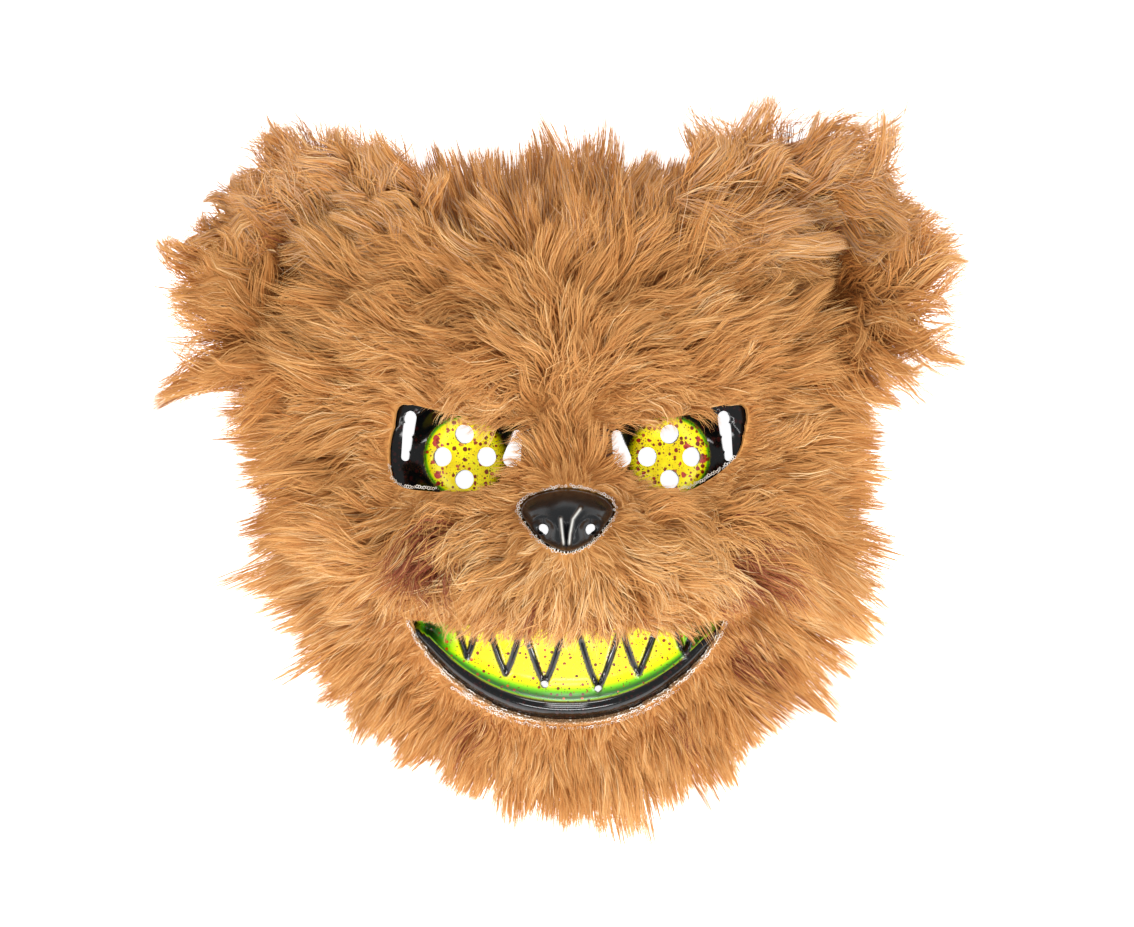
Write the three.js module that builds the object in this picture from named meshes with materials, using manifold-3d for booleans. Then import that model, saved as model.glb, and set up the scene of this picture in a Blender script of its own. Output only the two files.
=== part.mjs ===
// A furry bear face mask that lies face up on its rim.
// Millimetres. +Z out of the face, +Y from chin to crown, +X to the right of someone looking at the face.
// The origin is under the middle of the bounding box, on the surface that the rim rests on.
//
// A vacuum-formed plastic shell carries the eyes, the nose and the mouth. A long-pile fur cover is glued
// over it, with a window cut for each of them, and a padded, cupped fur ear sits at each upper side.
import * as THREE from "three";
import { mergeVertices } from "three/addons/utils/BufferGeometryUtils.js";
import Module from "manifold-3d";

const wasm = await Module();
wasm.setup();

// Face form: the shell's rim as seen from the front, and how far the face stands out of the rim
const FACE_WIDTH = 194;
const FACE_HEIGHT = 218;
const FACE_DEPTH = 68;
const CHIN_SQUARENESS = 2.1; // exponent of the rim's outline, where 2 is an ellipse
const CROWN_SQUARENESS = 2.7;
const DOME_FULLNESS = 2.6; // exponent of the section from the nose to the rim
const SHELL_WALL = 1.5;

// Fur cover
const COVER_GAP = 0.6; // from the shell to the cover's back
const BACKING = 1.5; // knitted backing cloth
const PILE = 15; // dense under-fur between the locks
const LOCK_LENGTH = 24;
const LOCK_RISE = 0.62; // share of a lock's length that points away from the skin
const LOCK_DROOP = 0.45; // how much the locks turn towards the chin
const HEM_LIFT = 1; // the cover and its fur stay this far above the floor
const WINDOW_GAP = 0.5; // from the formed eyes, nose and lip to the cover's cut edge
const BARE_EDGE = 3; // the fur starts this far from a window's edge
const PILE_RAMP = 22; // and has its full depth this much further on

// Eyes
const EYE_SPACING = 79.6; // between the two eyeball centres
const EYE_HEIGHT = 11.4; // above the middle of the rim
const EYEBALL_RADIUS = 16;
const EYEBALL_RISE = 8.5;
const SOCKET_WIDTH = 61;
const SOCKET_HEIGHT = 46;
const SOCKET_DEPTH = 6;
const EYE_WINDOW_WIDTH = 57;
const EYE_WINDOW_HEIGHT = 35;
const SIGHT_HOLE_DIAMETER = 7.4;
const SIGHT_HOLE_CIRCLE = 8.7; // radius of the circle that the four holes lie on
const OUTER_SLOT_LENGTH = 15.2; // between the centres of its round ends
const OUTER_SLOT_WIDTH = 5.2;
const INNER_SLOT_LENGTH = 11;
const INNER_SLOT_WIDTH = 7;

// Nose
const NOSE_WIDTH = 36;
const NOSE_HEIGHT = 24;
const NOSE_DROP = 12.5; // below the middle of the rim
const NOSE_RISE = 10;
const NOSTRIL_SPACING = 18.2;
const NOSTRIL_DIAMETER = 4.2;
const NOSTRIL_DENT = 3;
const NOSTRIL_Y = -3.6; // from the nose's middle
const NOSE_GROOVE = 2.2;

// Mouth
const MOUTH_WIDTH = 122;
const MOUTH_HEIGHT = 37; // from the corners down to the lower lip's outer edge
const MOUTH_DROP = 52; // the corners below the middle of the rim
const MOUTH_ARCH = 2; // the upper edge's middle below the corners
const MOUTH_DEPTH = 5; // the teeth lie this far behind the skin
const LIP_WIDTH = 7;
const LIP_RISE = 2.2;
const RIDGE_RADIUS = 1.4;
const RIDGE_LIFT = 0.3; // the ridge's middle above the teeth
const TOOTH_HOLE_DIAMETER = 3.1;

// Strap slots in the shell's side walls
const STRAP_SLOT_LENGTH = 12;
const STRAP_SLOT_WIDTH = 3;
const STRAP_SLOT_LIFT = 14; // above the floor

// Ears
const EAR_RADIUS = 46;
const EAR_ROOT = 9; // how far the ear's inner side reaches on towards the head
const EAR_FLARE = 0.3; // how much wider the ear is at its root
const EAR_CUP = 0.16; // depth of the hollow as a share of the radius
const EAR_LOCK_LENGTH = 14;
const EAR_LIFT = 41; // the ear's middle above the floor
const EAR_TILT = 12; // degrees, the outer edge down
const EAR_SEAT_GAP = 0.8;
const EAR_ROOM = 69; // the cover's locks start this far from an ear's middle

// Mesh density
const COLUMNS = 44;
const ROWS = 11;
const PATCH_COLUMNS = 14;
const EAR_COLUMNS = 22;
const DRILL_SIDES = 8;
const LAP = 0.75; // a formed patch tucks this far into the wall around it

// Relief of the face. x and spreadX are shares of half the width, y and spreadY of half the height,
// and rise is a share of the depth. A row with x above 0 also stands on the other side.
const RELIEF = [
  { name: "muzzle", x: 0, y: -0.41, spreadX: 0.46, spreadY: 0.37, rise: 0.44 },
  { name: "nose bridge", x: 0, y: -0.12, spreadX: 0.19, spreadY: 0.2, rise: 0.2 },
  { name: "brow", x: 0.36, y: 0.36, spreadX: 0.34, spreadY: 0.16, rise: 0.17 },
  { name: "eye hollow", x: 0.42, y: 0.1, spreadX: 0.2, spreadY: 0.13, rise: -0.12 },
  { name: "cheek", x: 0.62, y: -0.34, spreadX: 0.22, spreadY: 0.3, rise: 0.12 },
  { name: "chin", x: 0, y: -0.87, spreadX: 0.36, spreadY: 0.11, rise: 0.12 },
];

// The edge of a window as shares of half its width and height, from the inner corner by the lower edge
const EYE_WINDOW = [
  { x: -1.0, y: 0.3 },
  { x: -0.78, y: -0.34 },
  { x: -0.36, y: -0.86 },
  { x: 0.1, y: -1.0 },
  { x: 0.5, y: -0.74 },
  { x: 0.86, y: -0.28 },
  { x: 1.0, y: 0.16 },
  { x: 1.0, y: 0.9 },
  { x: 0.3, y: 0.74 },
  { x: -0.4, y: 0.58 },
];
// The left eye's window is cut squarer at its lower outer corner
const LEFT_EYE_WINDOW = [
  { x: -1.0, y: 0.3 },
  { x: -0.78, y: -0.34 },
  { x: -0.36, y: -0.86 },
  { x: 0.1, y: -0.98 },
  { x: 0.5, y: -0.96 },
  { x: 0.83, y: -0.88 },
  { x: 0.98, y: -0.64 },
  { x: 1.02, y: -0.08 },
  { x: 0.96, y: 0.4 },
  { x: 0.85, y: 0.9 },
  { x: 0.3, y: 0.74 },
  { x: -0.4, y: 0.58 },
];
const NOSE_WINDOW = [
  { x: -1.0, y: 0.3 },
  { x: -0.78, y: -0.28 },
  { x: -0.44, y: -0.76 },
  { x: 0, y: -1.0 },
  { x: 0.44, y: -0.76 },
  { x: 0.78, y: -0.28 },
  { x: 1.0, y: 0.3 },
  { x: 0.74, y: 0.76 },
  { x: 0, y: 1.0 },
  { x: -0.74, y: 0.76 },
];

// The fangs outlined in the mouth. x and lean are shares of half the mouth's width, tip is how far down the
// mouth the point lies, and spread is the half-width between its arms at the top.
const FANGS = [
  { x: -0.634, tip: 0.55, spread: 0.06, holed: false },
  { x: -0.382, tip: 0.68, spread: 0.1, holed: false },
  { x: -0.13, tip: 0.73, spread: 0.12, holed: true },
  { x: 0.225, tip: 0.75, spread: 0.13, holed: true },
  { x: 0.477, tip: 0.69, spread: 0.11, holed: false },
  { x: 0.73, tip: 0.54, spread: 0.07, holed: false },
];

// The two ears. angle is where an ear sits round the face, and reach its middle's distance from the face's
// middle as a share of half the height.
const EARS = [
  { name: "ear_left", angle: 139, reach: 1.22 },
  { name: "ear_right", angle: 44.8, reach: 1.205 },
];

// Section of an ear from the middle of its hollow over the rim to the middle of its back.
// out is a share of the radius, and up of the radius too, before the hollow is added.
const EAR_SECTION = [
  { out: 0.0, up: 0.06 },
  { out: 0.3, up: 0.08 },
  { out: 0.6, up: 0.14 },
  { out: 0.85, up: 0.2 },
  { out: 1.0, up: 0.06 },
  { out: 0.94, up: -0.14 },
  { out: 0.64, up: -0.24 },
  { out: 0.32, up: -0.28 },
  { out: 0.0, up: -0.3 },
];

const vec = (x, y, z) => new THREE.Vector3(x, y, z);
const clamp01 = (value) => Math.min(1, Math.max(0, value));
const smooth = (value) => clamp01(value) ** 2 * (3 - 2 * clamp01(value));
const radians = (degrees) => THREE.MathUtils.degToRad(degrees);
const polar = (degrees, radius) =>
  vec(Math.cos(radians(degrees)), Math.sin(radians(degrees)), 0).multiplyScalar(radius);

// A repeatable number from 0 to 1 for a cell of a grid
function scatter(row, column) {
  const wave = Math.sin(row * 12.9898 + column * 78.233) * 43758.5453;
  return wave - Math.floor(wave);
}

// Solids

function geometryOf(points, faces) {
  const raw = new THREE.BufferGeometry();
  raw.setAttribute("position", new THREE.Float32BufferAttribute(points.flatMap((p) => [p.x, p.y, p.z]), 3));
  raw.setIndex(faces.flat());
  return raw;
}

function solidOf(geometry) {
  const bare = new THREE.BufferGeometry();
  const source = geometry.index ? geometry.toNonIndexed() : geometry;
  bare.setAttribute("position", source.getAttribute("position"));
  const merged = mergeVertices(bare, 1e-4);
  const index = merged.index.array;
  const kept = [];
  for (let i = 0; i < index.length; i += 3) {
    const [a, b, c] = [index[i], index[i + 1], index[i + 2]];
    if (a !== b && b !== c && a !== c) kept.push(a, b, c);
  }
  return new wasm.Manifold(
    new wasm.Mesh({
      numProp: 3,
      vertProperties: merged.attributes.position.array,
      triVerts: new Uint32Array(kept),
    }),
  );
}

function meshOf(solid, name, look) {
  const { numProp, vertProperties, triVerts } = solid.getMesh();
  const count = vertProperties.length / numProp;
  const places = new Float32Array(count * 3);
  for (let i = 0; i < count; i++) {
    for (let axis = 0; axis < 3; axis++) places[3 * i + axis] = vertProperties[numProp * i + axis];
  }
  const geometry = new THREE.BufferGeometry();
  geometry.setAttribute("position", new THREE.BufferAttribute(places, 3));
  geometry.setIndex(new THREE.BufferAttribute(new Uint32Array(triVerts), 1));
  geometry.computeVertexNormals();
  const mesh = new THREE.Mesh(geometry, look);
  mesh.name = name;
  return mesh;
}

const joined = (solids) => solids.reduce((sum, solid) => sum.add(solid));

// The faces that raise a four-cornered cell to a point
const peak = (corners, tip) => corners.map((corner, side) => [corner, corners[(side + 1) % 4], tip]);

// A closed wall between two grids of points with the same rows and columns. Where wrap is true the last
// column meets the first. A tip for a cell raises that cell of the upper grid to a point.
function wallBetween(upper, lower, wrap, tips) {
  const rows = upper.length;
  const columns = upper[0].length;
  const points = [...upper.flat(), ...lower.flat()];
  const faces = [];
  const at = (row, column, side) => side * rows * columns + row * columns + (column % columns);
  const cell = (row, column, side) => [
    at(row, column, side),
    at(row + 1, column, side),
    at(row + 1, column + 1, side),
    at(row, column + 1, side),
  ];
  const seal = (from, to) => {
    const [a, b] = [at(...from, 0), at(...to, 0)];
    const [c, d] = [at(...from, 1), at(...to, 1)];
    faces.push([a, b, d], [a, d, c]);
  };
  const span = wrap ? columns : columns - 1;
  for (let row = 0; row + 1 < rows; row++) {
    for (let column = 0; column < span; column++) {
      const [a, b, c, d] = cell(row, column, 0);
      if (tips) {
        points.push(tips[row][column]);
        faces.push(...peak([a, b, c, d], points.length - 1));
      } else {
        faces.push([a, b, c], [a, c, d]);
      }
      const [e, f, g, h] = cell(row, column, 1);
      faces.push([g, f, e], [h, g, e]);
    }
  }
  for (let column = 0; column < span; column++) {
    seal([rows - 1, column + 1], [rows - 1, column]);
    if (!wrap) seal([0, column], [0, column + 1]);
  }
  for (let row = 0; !wrap && row + 1 < rows; row++) {
    seal([row + 1, 0], [row, 0]);
    seal([row, span], [row + 1, span]);
  }
  return solidOf(geometryOf(points, faces));
}

// A smooth closed curve through an outline's points
function roundedLoop(outline) {
  const loop = new THREE.CatmullRomCurve3(outline.map((p) => vec(p.x, p.y, 0)), true, "catmullrom", 0.5);
  return loop.getPoints(outline.length * 3);
}

// An outline moved outwards, where the outline runs anticlockwise
function grown(outline, by) {
  return outline.map((p, i) => {
    const before = outline[(i + outline.length - 1) % outline.length];
    const after = outline[(i + 1) % outline.length];
    const along = new THREE.Vector2(after.x - before.x, after.y - before.y).normalize();
    return { x: p.x + by * along.y, y: p.y - by * along.x };
  });
}

// A prism along Z through the whole face, from an outline of points
function cutThrough(outline) {
  const shape = new THREE.Shape(outline.map((p) => new THREE.Vector2(p.x, p.y)));
  return solidOf(new THREE.ExtrudeGeometry(shape, { depth: 3 * FACE_DEPTH, bevelEnabled: false }));
}

function drill(x, y, diameter) {
  const height = 3 * FACE_DEPTH;
  const bit = new THREE.CylinderGeometry(diameter / 2, diameter / 2, height, DRILL_SIDES);
  return solidOf(bit.rotateX(Math.PI / 2).translate(x, y, height / 2));
}

// Face form

function rimRadius(angle) {
  const x = Math.abs(Math.cos(angle)) / (FACE_WIDTH / 2);
  const y = Math.abs(Math.sin(angle)) / (FACE_HEIGHT / 2);
  const upward = smooth((1 + Math.sin(angle)) / 2);
  const power = CHIN_SQUARENESS + upward * (CROWN_SQUARENESS - CHIN_SQUARENESS);
  return (x ** power + y ** power) ** (-1 / power);
}

function reliefAt(x, y) {
  const across = x / (FACE_WIDTH / 2);
  const along = y / (FACE_HEIGHT / 2);
  let rise = 0;
  for (const row of RELIEF) {
    for (const side of row.x > 0 ? [-1, 1] : [1]) {
      const dx = (across - side * row.x) / row.spreadX;
      const dy = (along - row.y) / row.spreadY;
      rise += row.rise * Math.exp(-dx * dx - dy * dy);
    }
  }
  return rise * FACE_DEPTH;
}

// A point of the shell's outer face: angle round the nose, and way from 0 at the nose to 1 at the rim
function skinPoint(angle, way) {
  const turn = (way * Math.PI) / 2;
  const share = Math.sin(turn) ** (2 / DOME_FULLNESS);
  const radius = rimRadius(angle) * share;
  const [x, y] = [radius * Math.cos(angle), radius * Math.sin(angle)];
  const dome = FACE_DEPTH * Math.max(0, Math.cos(turn)) ** (2 / DOME_FULLNESS);
  const fade = 1 - smooth((share - 0.72) / 0.28);
  return vec(x, y, way >= 1 ? 0 : dome + reliefAt(x, y) * fade);
}

// Outward normal of the face form, and the direction along it away from the nose
function skinFrame(angle, way) {
  const step = 0.004;
  const low = Math.max(0.02, Math.min(way, 0.998) - step);
  const away = skinPoint(angle, low + 2 * step).sub(skinPoint(angle, low)).normalize();
  const round = skinPoint(angle + step, low).sub(skinPoint(angle - step, low)).normalize();
  return { away, normal: away.clone().cross(round).normalize() };
}

const gridWays = Array.from({ length: ROWS + 1 }, (_, row) => row / ROWS);
const gridAngles = Array.from({ length: COLUMNS }, (_, column) => (2 * Math.PI * column) / COLUMNS);

// The face form as a grid of rings, moved out along its normals
function faceGrid(offsetAt, floor = 0) {
  return gridWays.map((way) =>
    gridAngles.map((angle) => {
      if (way === 0) return skinPoint(0, 0).add(vec(0, 0, offsetAt(skinPoint(0, 0))));
      const at = skinPoint(angle, way);
      const out = skinFrame(angle, way).normal.multiplyScalar(offsetAt(at));
      if (way === 1) out.z = 0;
      at.add(out);
      at.z = Math.max(at.z, floor);
      return at;
    }),
  );
}

// Height of the shell's flat-faceted outer face over a place
const facets = faceGrid(() => 0).flatMap((ring, row, grid) =>
  row === ROWS ? [] : ring.flatMap((a, column) => {
    const next = (column + 1) % COLUMNS;
    const [b, c, d] = [grid[row + 1][column], grid[row + 1][next], ring[next]];
    return [new THREE.Triangle(a, b, c), new THREE.Triangle(a, c, d)];
  }),
);
function skinHeight(x, y) {
  for (const facet of facets) {
    const { a, b, c } = facet;
    const area = (b.x - a.x) * (c.y - a.y) - (b.y - a.y) * (c.x - a.x);
    if (Math.abs(area) < 1e-6) continue;
    const toC = ((b.x - a.x) * (y - a.y) - (b.y - a.y) * (x - a.x)) / area;
    const toB = ((x - a.x) * (c.y - a.y) - (y - a.y) * (c.x - a.x)) / area;
    const within = Math.min(toB, toC, 1 - toB - toC) > -1e-5;
    if (within) return a.z + toB * (b.z - a.z) + toC * (c.z - a.z);
  }
  return 0;
}

// Windows

function mirrored(outline) {
  return outline.map((p) => ({ x: -p.x, y: p.y })).reverse();
}

const placed = (outline, x, y, width, height) =>
  outline.map((p) => ({ x: x + (p.x * width) / 2, y: y + (p.y * height) / 2 }));

// Lower edge of the mouth over x, as a share of the mouth's height
const mouthSag = (across) => Math.max(0, 1 - Math.abs(across) ** 2.2) ** 0.8;
const mouthTop = (across) => -MOUTH_DROP - MOUTH_ARCH * (1 - across * across);
const mouthBottom = (across) => -MOUTH_DROP - MOUTH_HEIGHT * mouthSag(across);

function mouthOutline() {
  const count = 16;
  const shares = Array.from({ length: count + 1 }, (_, i) => (2 * i) / count - 1);
  const at = (share, edge) => ({ x: (share * MOUTH_WIDTH) / 2, y: edge(share) });
  const lower = shares.map((share) => at(share, mouthBottom));
  const upper = shares.slice(1, -1).reverse();
  return [...lower, ...upper.map((share) => at(share, mouthTop))];
}

const eyeX = EYE_SPACING / 2;
const eyeWindowOf = (shares) => placed(shares, eyeX, EYE_HEIGHT + 4, EYE_WINDOW_WIDTH, EYE_WINDOW_HEIGHT);
const eyeWindows = [eyeWindowOf(EYE_WINDOW), mirrored(eyeWindowOf(LEFT_EYE_WINDOW))];
const noseWindow = placed(NOSE_WINDOW, 0, -NOSE_DROP, NOSE_WIDTH, NOSE_HEIGHT);
const noseLoop = roundedLoop(noseWindow).slice(0, -1).filter((_, index) => index % 2 === 0);
const windows = [...eyeWindows, noseWindow, mouthOutline()].map((outline) =>
  roundedLoop(outline).slice(0, -1),
);

// Distance in the front view from a place to the nearest window, 0 inside one
function windowDistance(x, y) {
  let nearest = Infinity;
  for (const outline of windows) {
    let inside = false;
    outline.forEach((a, i) => {
      const b = outline[(i + 1) % outline.length];
      const edge = { x: b.x - a.x, y: b.y - a.y };
      const share = clamp01(((x - a.x) * edge.x + (y - a.y) * edge.y) / (edge.x ** 2 + edge.y ** 2));
      nearest = Math.min(nearest, Math.hypot(x - a.x - share * edge.x, y - a.y - share * edge.y));
      if (a.y > y !== b.y > y && x < a.x + ((y - a.y) / (b.y - a.y)) * edge.x) inside = !inside;
    });
    if (inside) return 0;
  }
  return nearest;
}

const furShare = (x, y) => smooth((windowDistance(x, y) - BARE_EDGE) / PILE_RAMP);

// Shell

// A formed patch as rings round its middle. Each ring is an outline with the relief that it adds to the skin.
function formedPatch(rings) {
  const outer = rings.map((ring) => ring.map((p) => vec(p.x, p.y, skinHeight(p.x, p.y) + p.relief - LAP)));
  const inner = outer.map((ring) => ring.map((p) => p.clone().sub(vec(0, 0, SHELL_WALL))));
  return wallBetween(outer, inner, true);
}

function eyeSocket(side) {
  const ringOf = (wide, high, relief) =>
    Array.from({ length: PATCH_COLUMNS }, (_, column) => {
      const at = polar((360 * column) / PATCH_COLUMNS, 1);
      return { x: side * eyeX + wide * at.x, y: EYE_HEIGHT + high * at.y, relief };
    });
  const ball = [0, 0.4, 0.75, 1].map((share) => {
    const radius = share * EYEBALL_RADIUS;
    return ringOf(radius, radius, EYEBALL_RISE * Math.sqrt(1 - share ** 2) - SOCKET_DEPTH);
  });
  const bowl = [0.15, 0.6, 1].map((share) => {
    const wide = EYEBALL_RADIUS + share * (SOCKET_WIDTH / 2 - EYEBALL_RADIUS);
    const high = EYEBALL_RADIUS + share * (SOCKET_HEIGHT / 2 - EYEBALL_RADIUS);
    return ringOf(wide, high, -SOCKET_DEPTH * (1 - smooth(share)));
  });
  return formedPatch([...ball, ...bowl]);
}

function noseRelief(dx, dy, share) {
  const pad = NOSE_RISE * Math.sqrt(Math.max(0, 1 - share ** 4));
  const dents = [-1, 1].map((side) => {
    const away = Math.hypot(dx - (side * NOSTRIL_SPACING) / 2, dy - NOSTRIL_Y);
    return NOSTRIL_DENT * Math.exp(-((away / NOSTRIL_DIAMETER) ** 2));
  });
  const below = smooth((-4 * dy) / NOSE_HEIGHT);
  const groove = NOSE_GROOVE * below * Math.exp(-((dx / (NOSE_WIDTH / 14)) ** 2));
  return pad - (dents[0] + dents[1] + groove) * (1 - share) ** 0.3;
}

function noseForm() {
  const rings = [0, 0.35, 0.65, 0.88, 1].map((share) =>
    noseLoop.map((p) => {
      const [dx, dy] = [share * p.x, share * (p.y + NOSE_DROP)];
      return { x: dx, y: dy - NOSE_DROP, relief: noseRelief(dx, dy, share) };
    }),
  );
  const hem = noseLoop.map((p) => ({ x: 1.08 * p.x, y: 1.08 * (p.y + NOSE_DROP) - NOSE_DROP, relief: 0 }));
  return formedPatch([...rings, hem]);
}

// How far the mouth lies from the skin at a share of the way from its upper to its lower edge
function mouthRelief(share, height) {
  const lip = LIP_WIDTH / Math.max(height, LIP_WIDTH * 2);
  if (share > 1 - lip) return LIP_RISE * Math.sin((Math.PI * (1 - share)) / lip);
  return -MOUTH_DEPTH * smooth(share / 0.15) * smooth((1 - lip - share) / 0.3);
}

const mouthPoint = (across, share) => {
  const x = (across * MOUTH_WIDTH) / 2;
  const y = mouthTop(across) + share * (mouthBottom(across) - mouthTop(across));
  return vec(x, y, skinHeight(x, y) + mouthRelief(share, mouthTop(across) - mouthBottom(across)) - LAP);
};

function mouthTray() {
  const acrosses = Array.from({ length: 19 }, (_, i) => 0.96 * (i / 9 - 1));
  const shares = [-0.08, 0.12, 0.4, 0.66, 0.78, 0.9, 1.02];
  const outer = shares.map((share) => acrosses.map((across) => mouthPoint(across, share)));
  const inner = outer.map((row) => row.map((p) => p.clone().sub(vec(0, 0, SHELL_WALL))));
  return wallBetween(outer, inner, false);
}

// A raised ridge along one arm of a fang, sunk by half into the tray
function fangArm(fang, side) {
  const along = [0.1, 0.4, 0.7, 1].map((share) => {
    const across = fang.x + side * fang.spread * (1 - share) ** 0.8;
    return mouthPoint(across, 0.02 + share * (fang.tip - 0.02)).add(vec(0, 0, RIDGE_LIFT));
  });
  const ring = new THREE.Shape();
  ring.absarc(0, 0, RIDGE_RADIUS, 0, 2 * Math.PI, false);
  const path = new THREE.CatmullRomCurve3(along);
  const sweep = { steps: 3, curveSegments: 3, bevelEnabled: false, extrudePath: path };
  return solidOf(new THREE.ExtrudeGeometry(ring, sweep));
}

// A slot with round ends, from one point to another, whose width may change
function slotOutline(from, to, widthFrom, widthTo) {
  const heading = Math.atan2(to.y - from.y, to.x - from.x);
  const arc = (centre, width, start) =>
    [0, 0.25, 0.5, 0.75, 1].map((share) => {
      const angle = start + share * Math.PI;
      return { x: centre.x + (width / 2) * Math.cos(angle), y: centre.y + (width / 2) * Math.sin(angle) };
    });
  return [...arc(from, widthFrom, heading + Math.PI / 2), ...arc(to, widthTo, heading - Math.PI / 2)];
}

function eyeCuts(side) {
  const turned = (outline) => (side > 0 ? outline : mirrored(outline));
  const holes = [0, 90, 180, 270].map((angle) => {
    const at = polar(angle, SIGHT_HOLE_CIRCLE);
    return drill(side * eyeX + at.x, EYE_HEIGHT + at.y, SIGHT_HOLE_DIAMETER);
  });
  const outerX = eyeX + EYEBALL_RADIUS + OUTER_SLOT_WIDTH;
  const outerTop = { x: outerX, y: EYE_HEIGHT + OUTER_SLOT_LENGTH };
  const outerEnd = { x: outerX + 2, y: EYE_HEIGHT };
  const innerX = eyeX - EYEBALL_RADIUS - INNER_SLOT_WIDTH / 2;
  const innerTop = { x: innerX - 1, y: EYE_HEIGHT + 0.75 * INNER_SLOT_LENGTH };
  const innerEnd = { x: innerX + 1, y: innerTop.y - 0.8 * INNER_SLOT_LENGTH };
  return [
    ...holes,
    cutThrough(turned(slotOutline(outerTop, outerEnd, OUTER_SLOT_WIDTH, 0.62 * OUTER_SLOT_WIDTH))),
    cutThrough(turned(slotOutline(innerTop, innerEnd, 0.6 * INNER_SLOT_WIDTH, INNER_SLOT_WIDTH))),
  ];
}

function strapSlot(side) {
  const box = new THREE.BoxGeometry(FACE_WIDTH / 4, STRAP_SLOT_LENGTH, STRAP_SLOT_WIDTH);
  return solidOf(box.translate((side * FACE_WIDTH) / 2, 0, STRAP_SLOT_LIFT));
}

// The base wall is cut back inside each formed patch, which then closes it again
function faceShell() {
  const base = wallBetween(faceGrid(() => 0), faceGrid(() => -SHELL_WALL), true);
  const trim = 1.6;
  const socket = placed(
    Array.from({ length: 24 }, (_, i) => polar(15 * i, 1)),
    eyeX,
    EYE_HEIGHT,
    SOCKET_WIDTH - 2 * trim,
    SOCKET_HEIGHT - 2 * trim,
  );
  const nose = noseLoop.map((p) => ({ x: 0.94 * p.x, y: 0.94 * (p.y + NOSE_DROP) - NOSE_DROP }));
  const acrosses = Array.from({ length: 15 }, (_, i) => 0.93 * (i / 7 - 1));
  const inset = (share) => acrosses.map((across) => mouthPoint(across, share));
  const mouth = [...inset(0.97), ...inset(-0.02).reverse()];
  const openings = [socket, mirrored(socket), nose, mouth].map(cutThrough);
  const cuts = [
    ...eyeCuts(1),
    ...eyeCuts(-1),
    ...[-1, 1].map((side) => drill((side * NOSTRIL_SPACING) / 2, NOSTRIL_Y - NOSE_DROP, NOSTRIL_DIAMETER)),
    ...[-1, 1].map(strapSlot),
    ...FANGS.filter((fang) => fang.holed).map((fang) => {
      const tip = mouthPoint(fang.x, fang.tip);
      return drill(tip.x, tip.y, TOOTH_HOLE_DIAMETER);
    }),
  ];
  const arms = FANGS.flatMap((fang) => [fangArm(fang, -1), fangArm(fang, 1)]);
  const patches = [eyeSocket(1), eyeSocket(-1), noseForm(), mouthTray(), ...arms];
  return joined([base.subtract(joined(openings)), ...patches]).subtract(joined(cuts));
}

// Fur

// Where an ear sits: its middle, and the turn that faces its hollow forwards and outwards
function earPlace(ear) {
  const middle = polar(ear.angle, (ear.reach * FACE_HEIGHT) / 2).setZ(EAR_LIFT);
  const hinge = polar(ear.angle + 90, 1);
  return new THREE.Matrix4()
    .makeRotationAxis(hinge, radians(EAR_TILT))
    .setPosition(middle);
}

// The nap: along the skin away from the nose, drooping towards the chin
function napAt(frame) {
  const down = vec(0, -1, 0);
  down.addScaledVector(frame.normal, -down.dot(frame.normal));
  return frame.away.clone().addScaledVector(down, LOCK_DROOP).normalize();
}

// How much room the ears leave a lock, from 0 where it would meet an ear to 1
function earRoom(point) {
  const away = EARS.map((ear) => point.distanceTo(vec().setFromMatrixPosition(earPlace(ear))));
  return smooth((Math.min(...away) - EAR_ROOM) / EAR_LOCK_LENGTH);
}

// The tips of the cover's locks, one for each cell of its grid
function coverTips(base) {
  return base.slice(0, -1).map((ring, row) =>
    ring.map((corner, column) => {
      const next = (column + 1) % COLUMNS;
      const cell = [corner, base[row + 1][column], base[row + 1][next], ring[next]];
      const middle = cell.reduce((sum, p) => sum.add(p), vec(0, 0, 0)).divideScalar(4);
      const frame = skinFrame(((column + 0.5) * 2 * Math.PI) / COLUMNS, (row + 0.5) / ROWS);
      const uneven = 0.75 + 0.5 * scatter(row, column);
      const length = LOCK_LENGTH * uneven * furShare(middle.x, middle.y);
      const tip = middle
        .clone()
        .addScaledVector(napAt(frame), length * Math.sqrt(1 - LOCK_RISE ** 2))
        .addScaledVector(frame.normal, length * LOCK_RISE);
      tip.lerpVectors(middle, tip, earRoom(tip));
      tip.z = Math.max(tip.z, HEM_LIFT);
      return tip;
    }),
  );
}

const pileOffset = (p) => COVER_GAP + BACKING + PILE * furShare(p.x, p.y);

function flatTips(base) {
  return base.slice(0, -1).map((ring, row) =>
    ring.map((corner, column) => {
      const next = (column + 1) % COLUMNS;
      const cell = [corner, base[row + 1][column], base[row + 1][next], ring[next]];
      return cell.reduce((sum, p) => sum.add(p), vec(0, 0, 0)).divideScalar(4);
    }),
  );
}

function furCover() {
  const back = faceGrid(() => COVER_GAP, HEM_LIFT);
  const front = faceGrid(pileOffset, HEM_LIFT);
  const fur = wallBetween(front, back, true, coverTips(front));
  return fur.subtract(joined(windows.map((outline) => cutThrough(grown(outline, WINDOW_GAP)))));
}

// The body that the ears are cut back from, a seat's gap larger than the cover without its locks
function earSeat() {
  const outer = faceGrid((p) => pileOffset(p) + EAR_SEAT_GAP, -FACE_DEPTH);
  outer[ROWS].forEach((p) => p.setZ(-FACE_DEPTH));
  const inner = outer.map((ring) => ring.map(() => vec(0, 0, -FACE_DEPTH)));
  return wallBetween(outer, inner, true, flatTips(outer));
}

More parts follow.
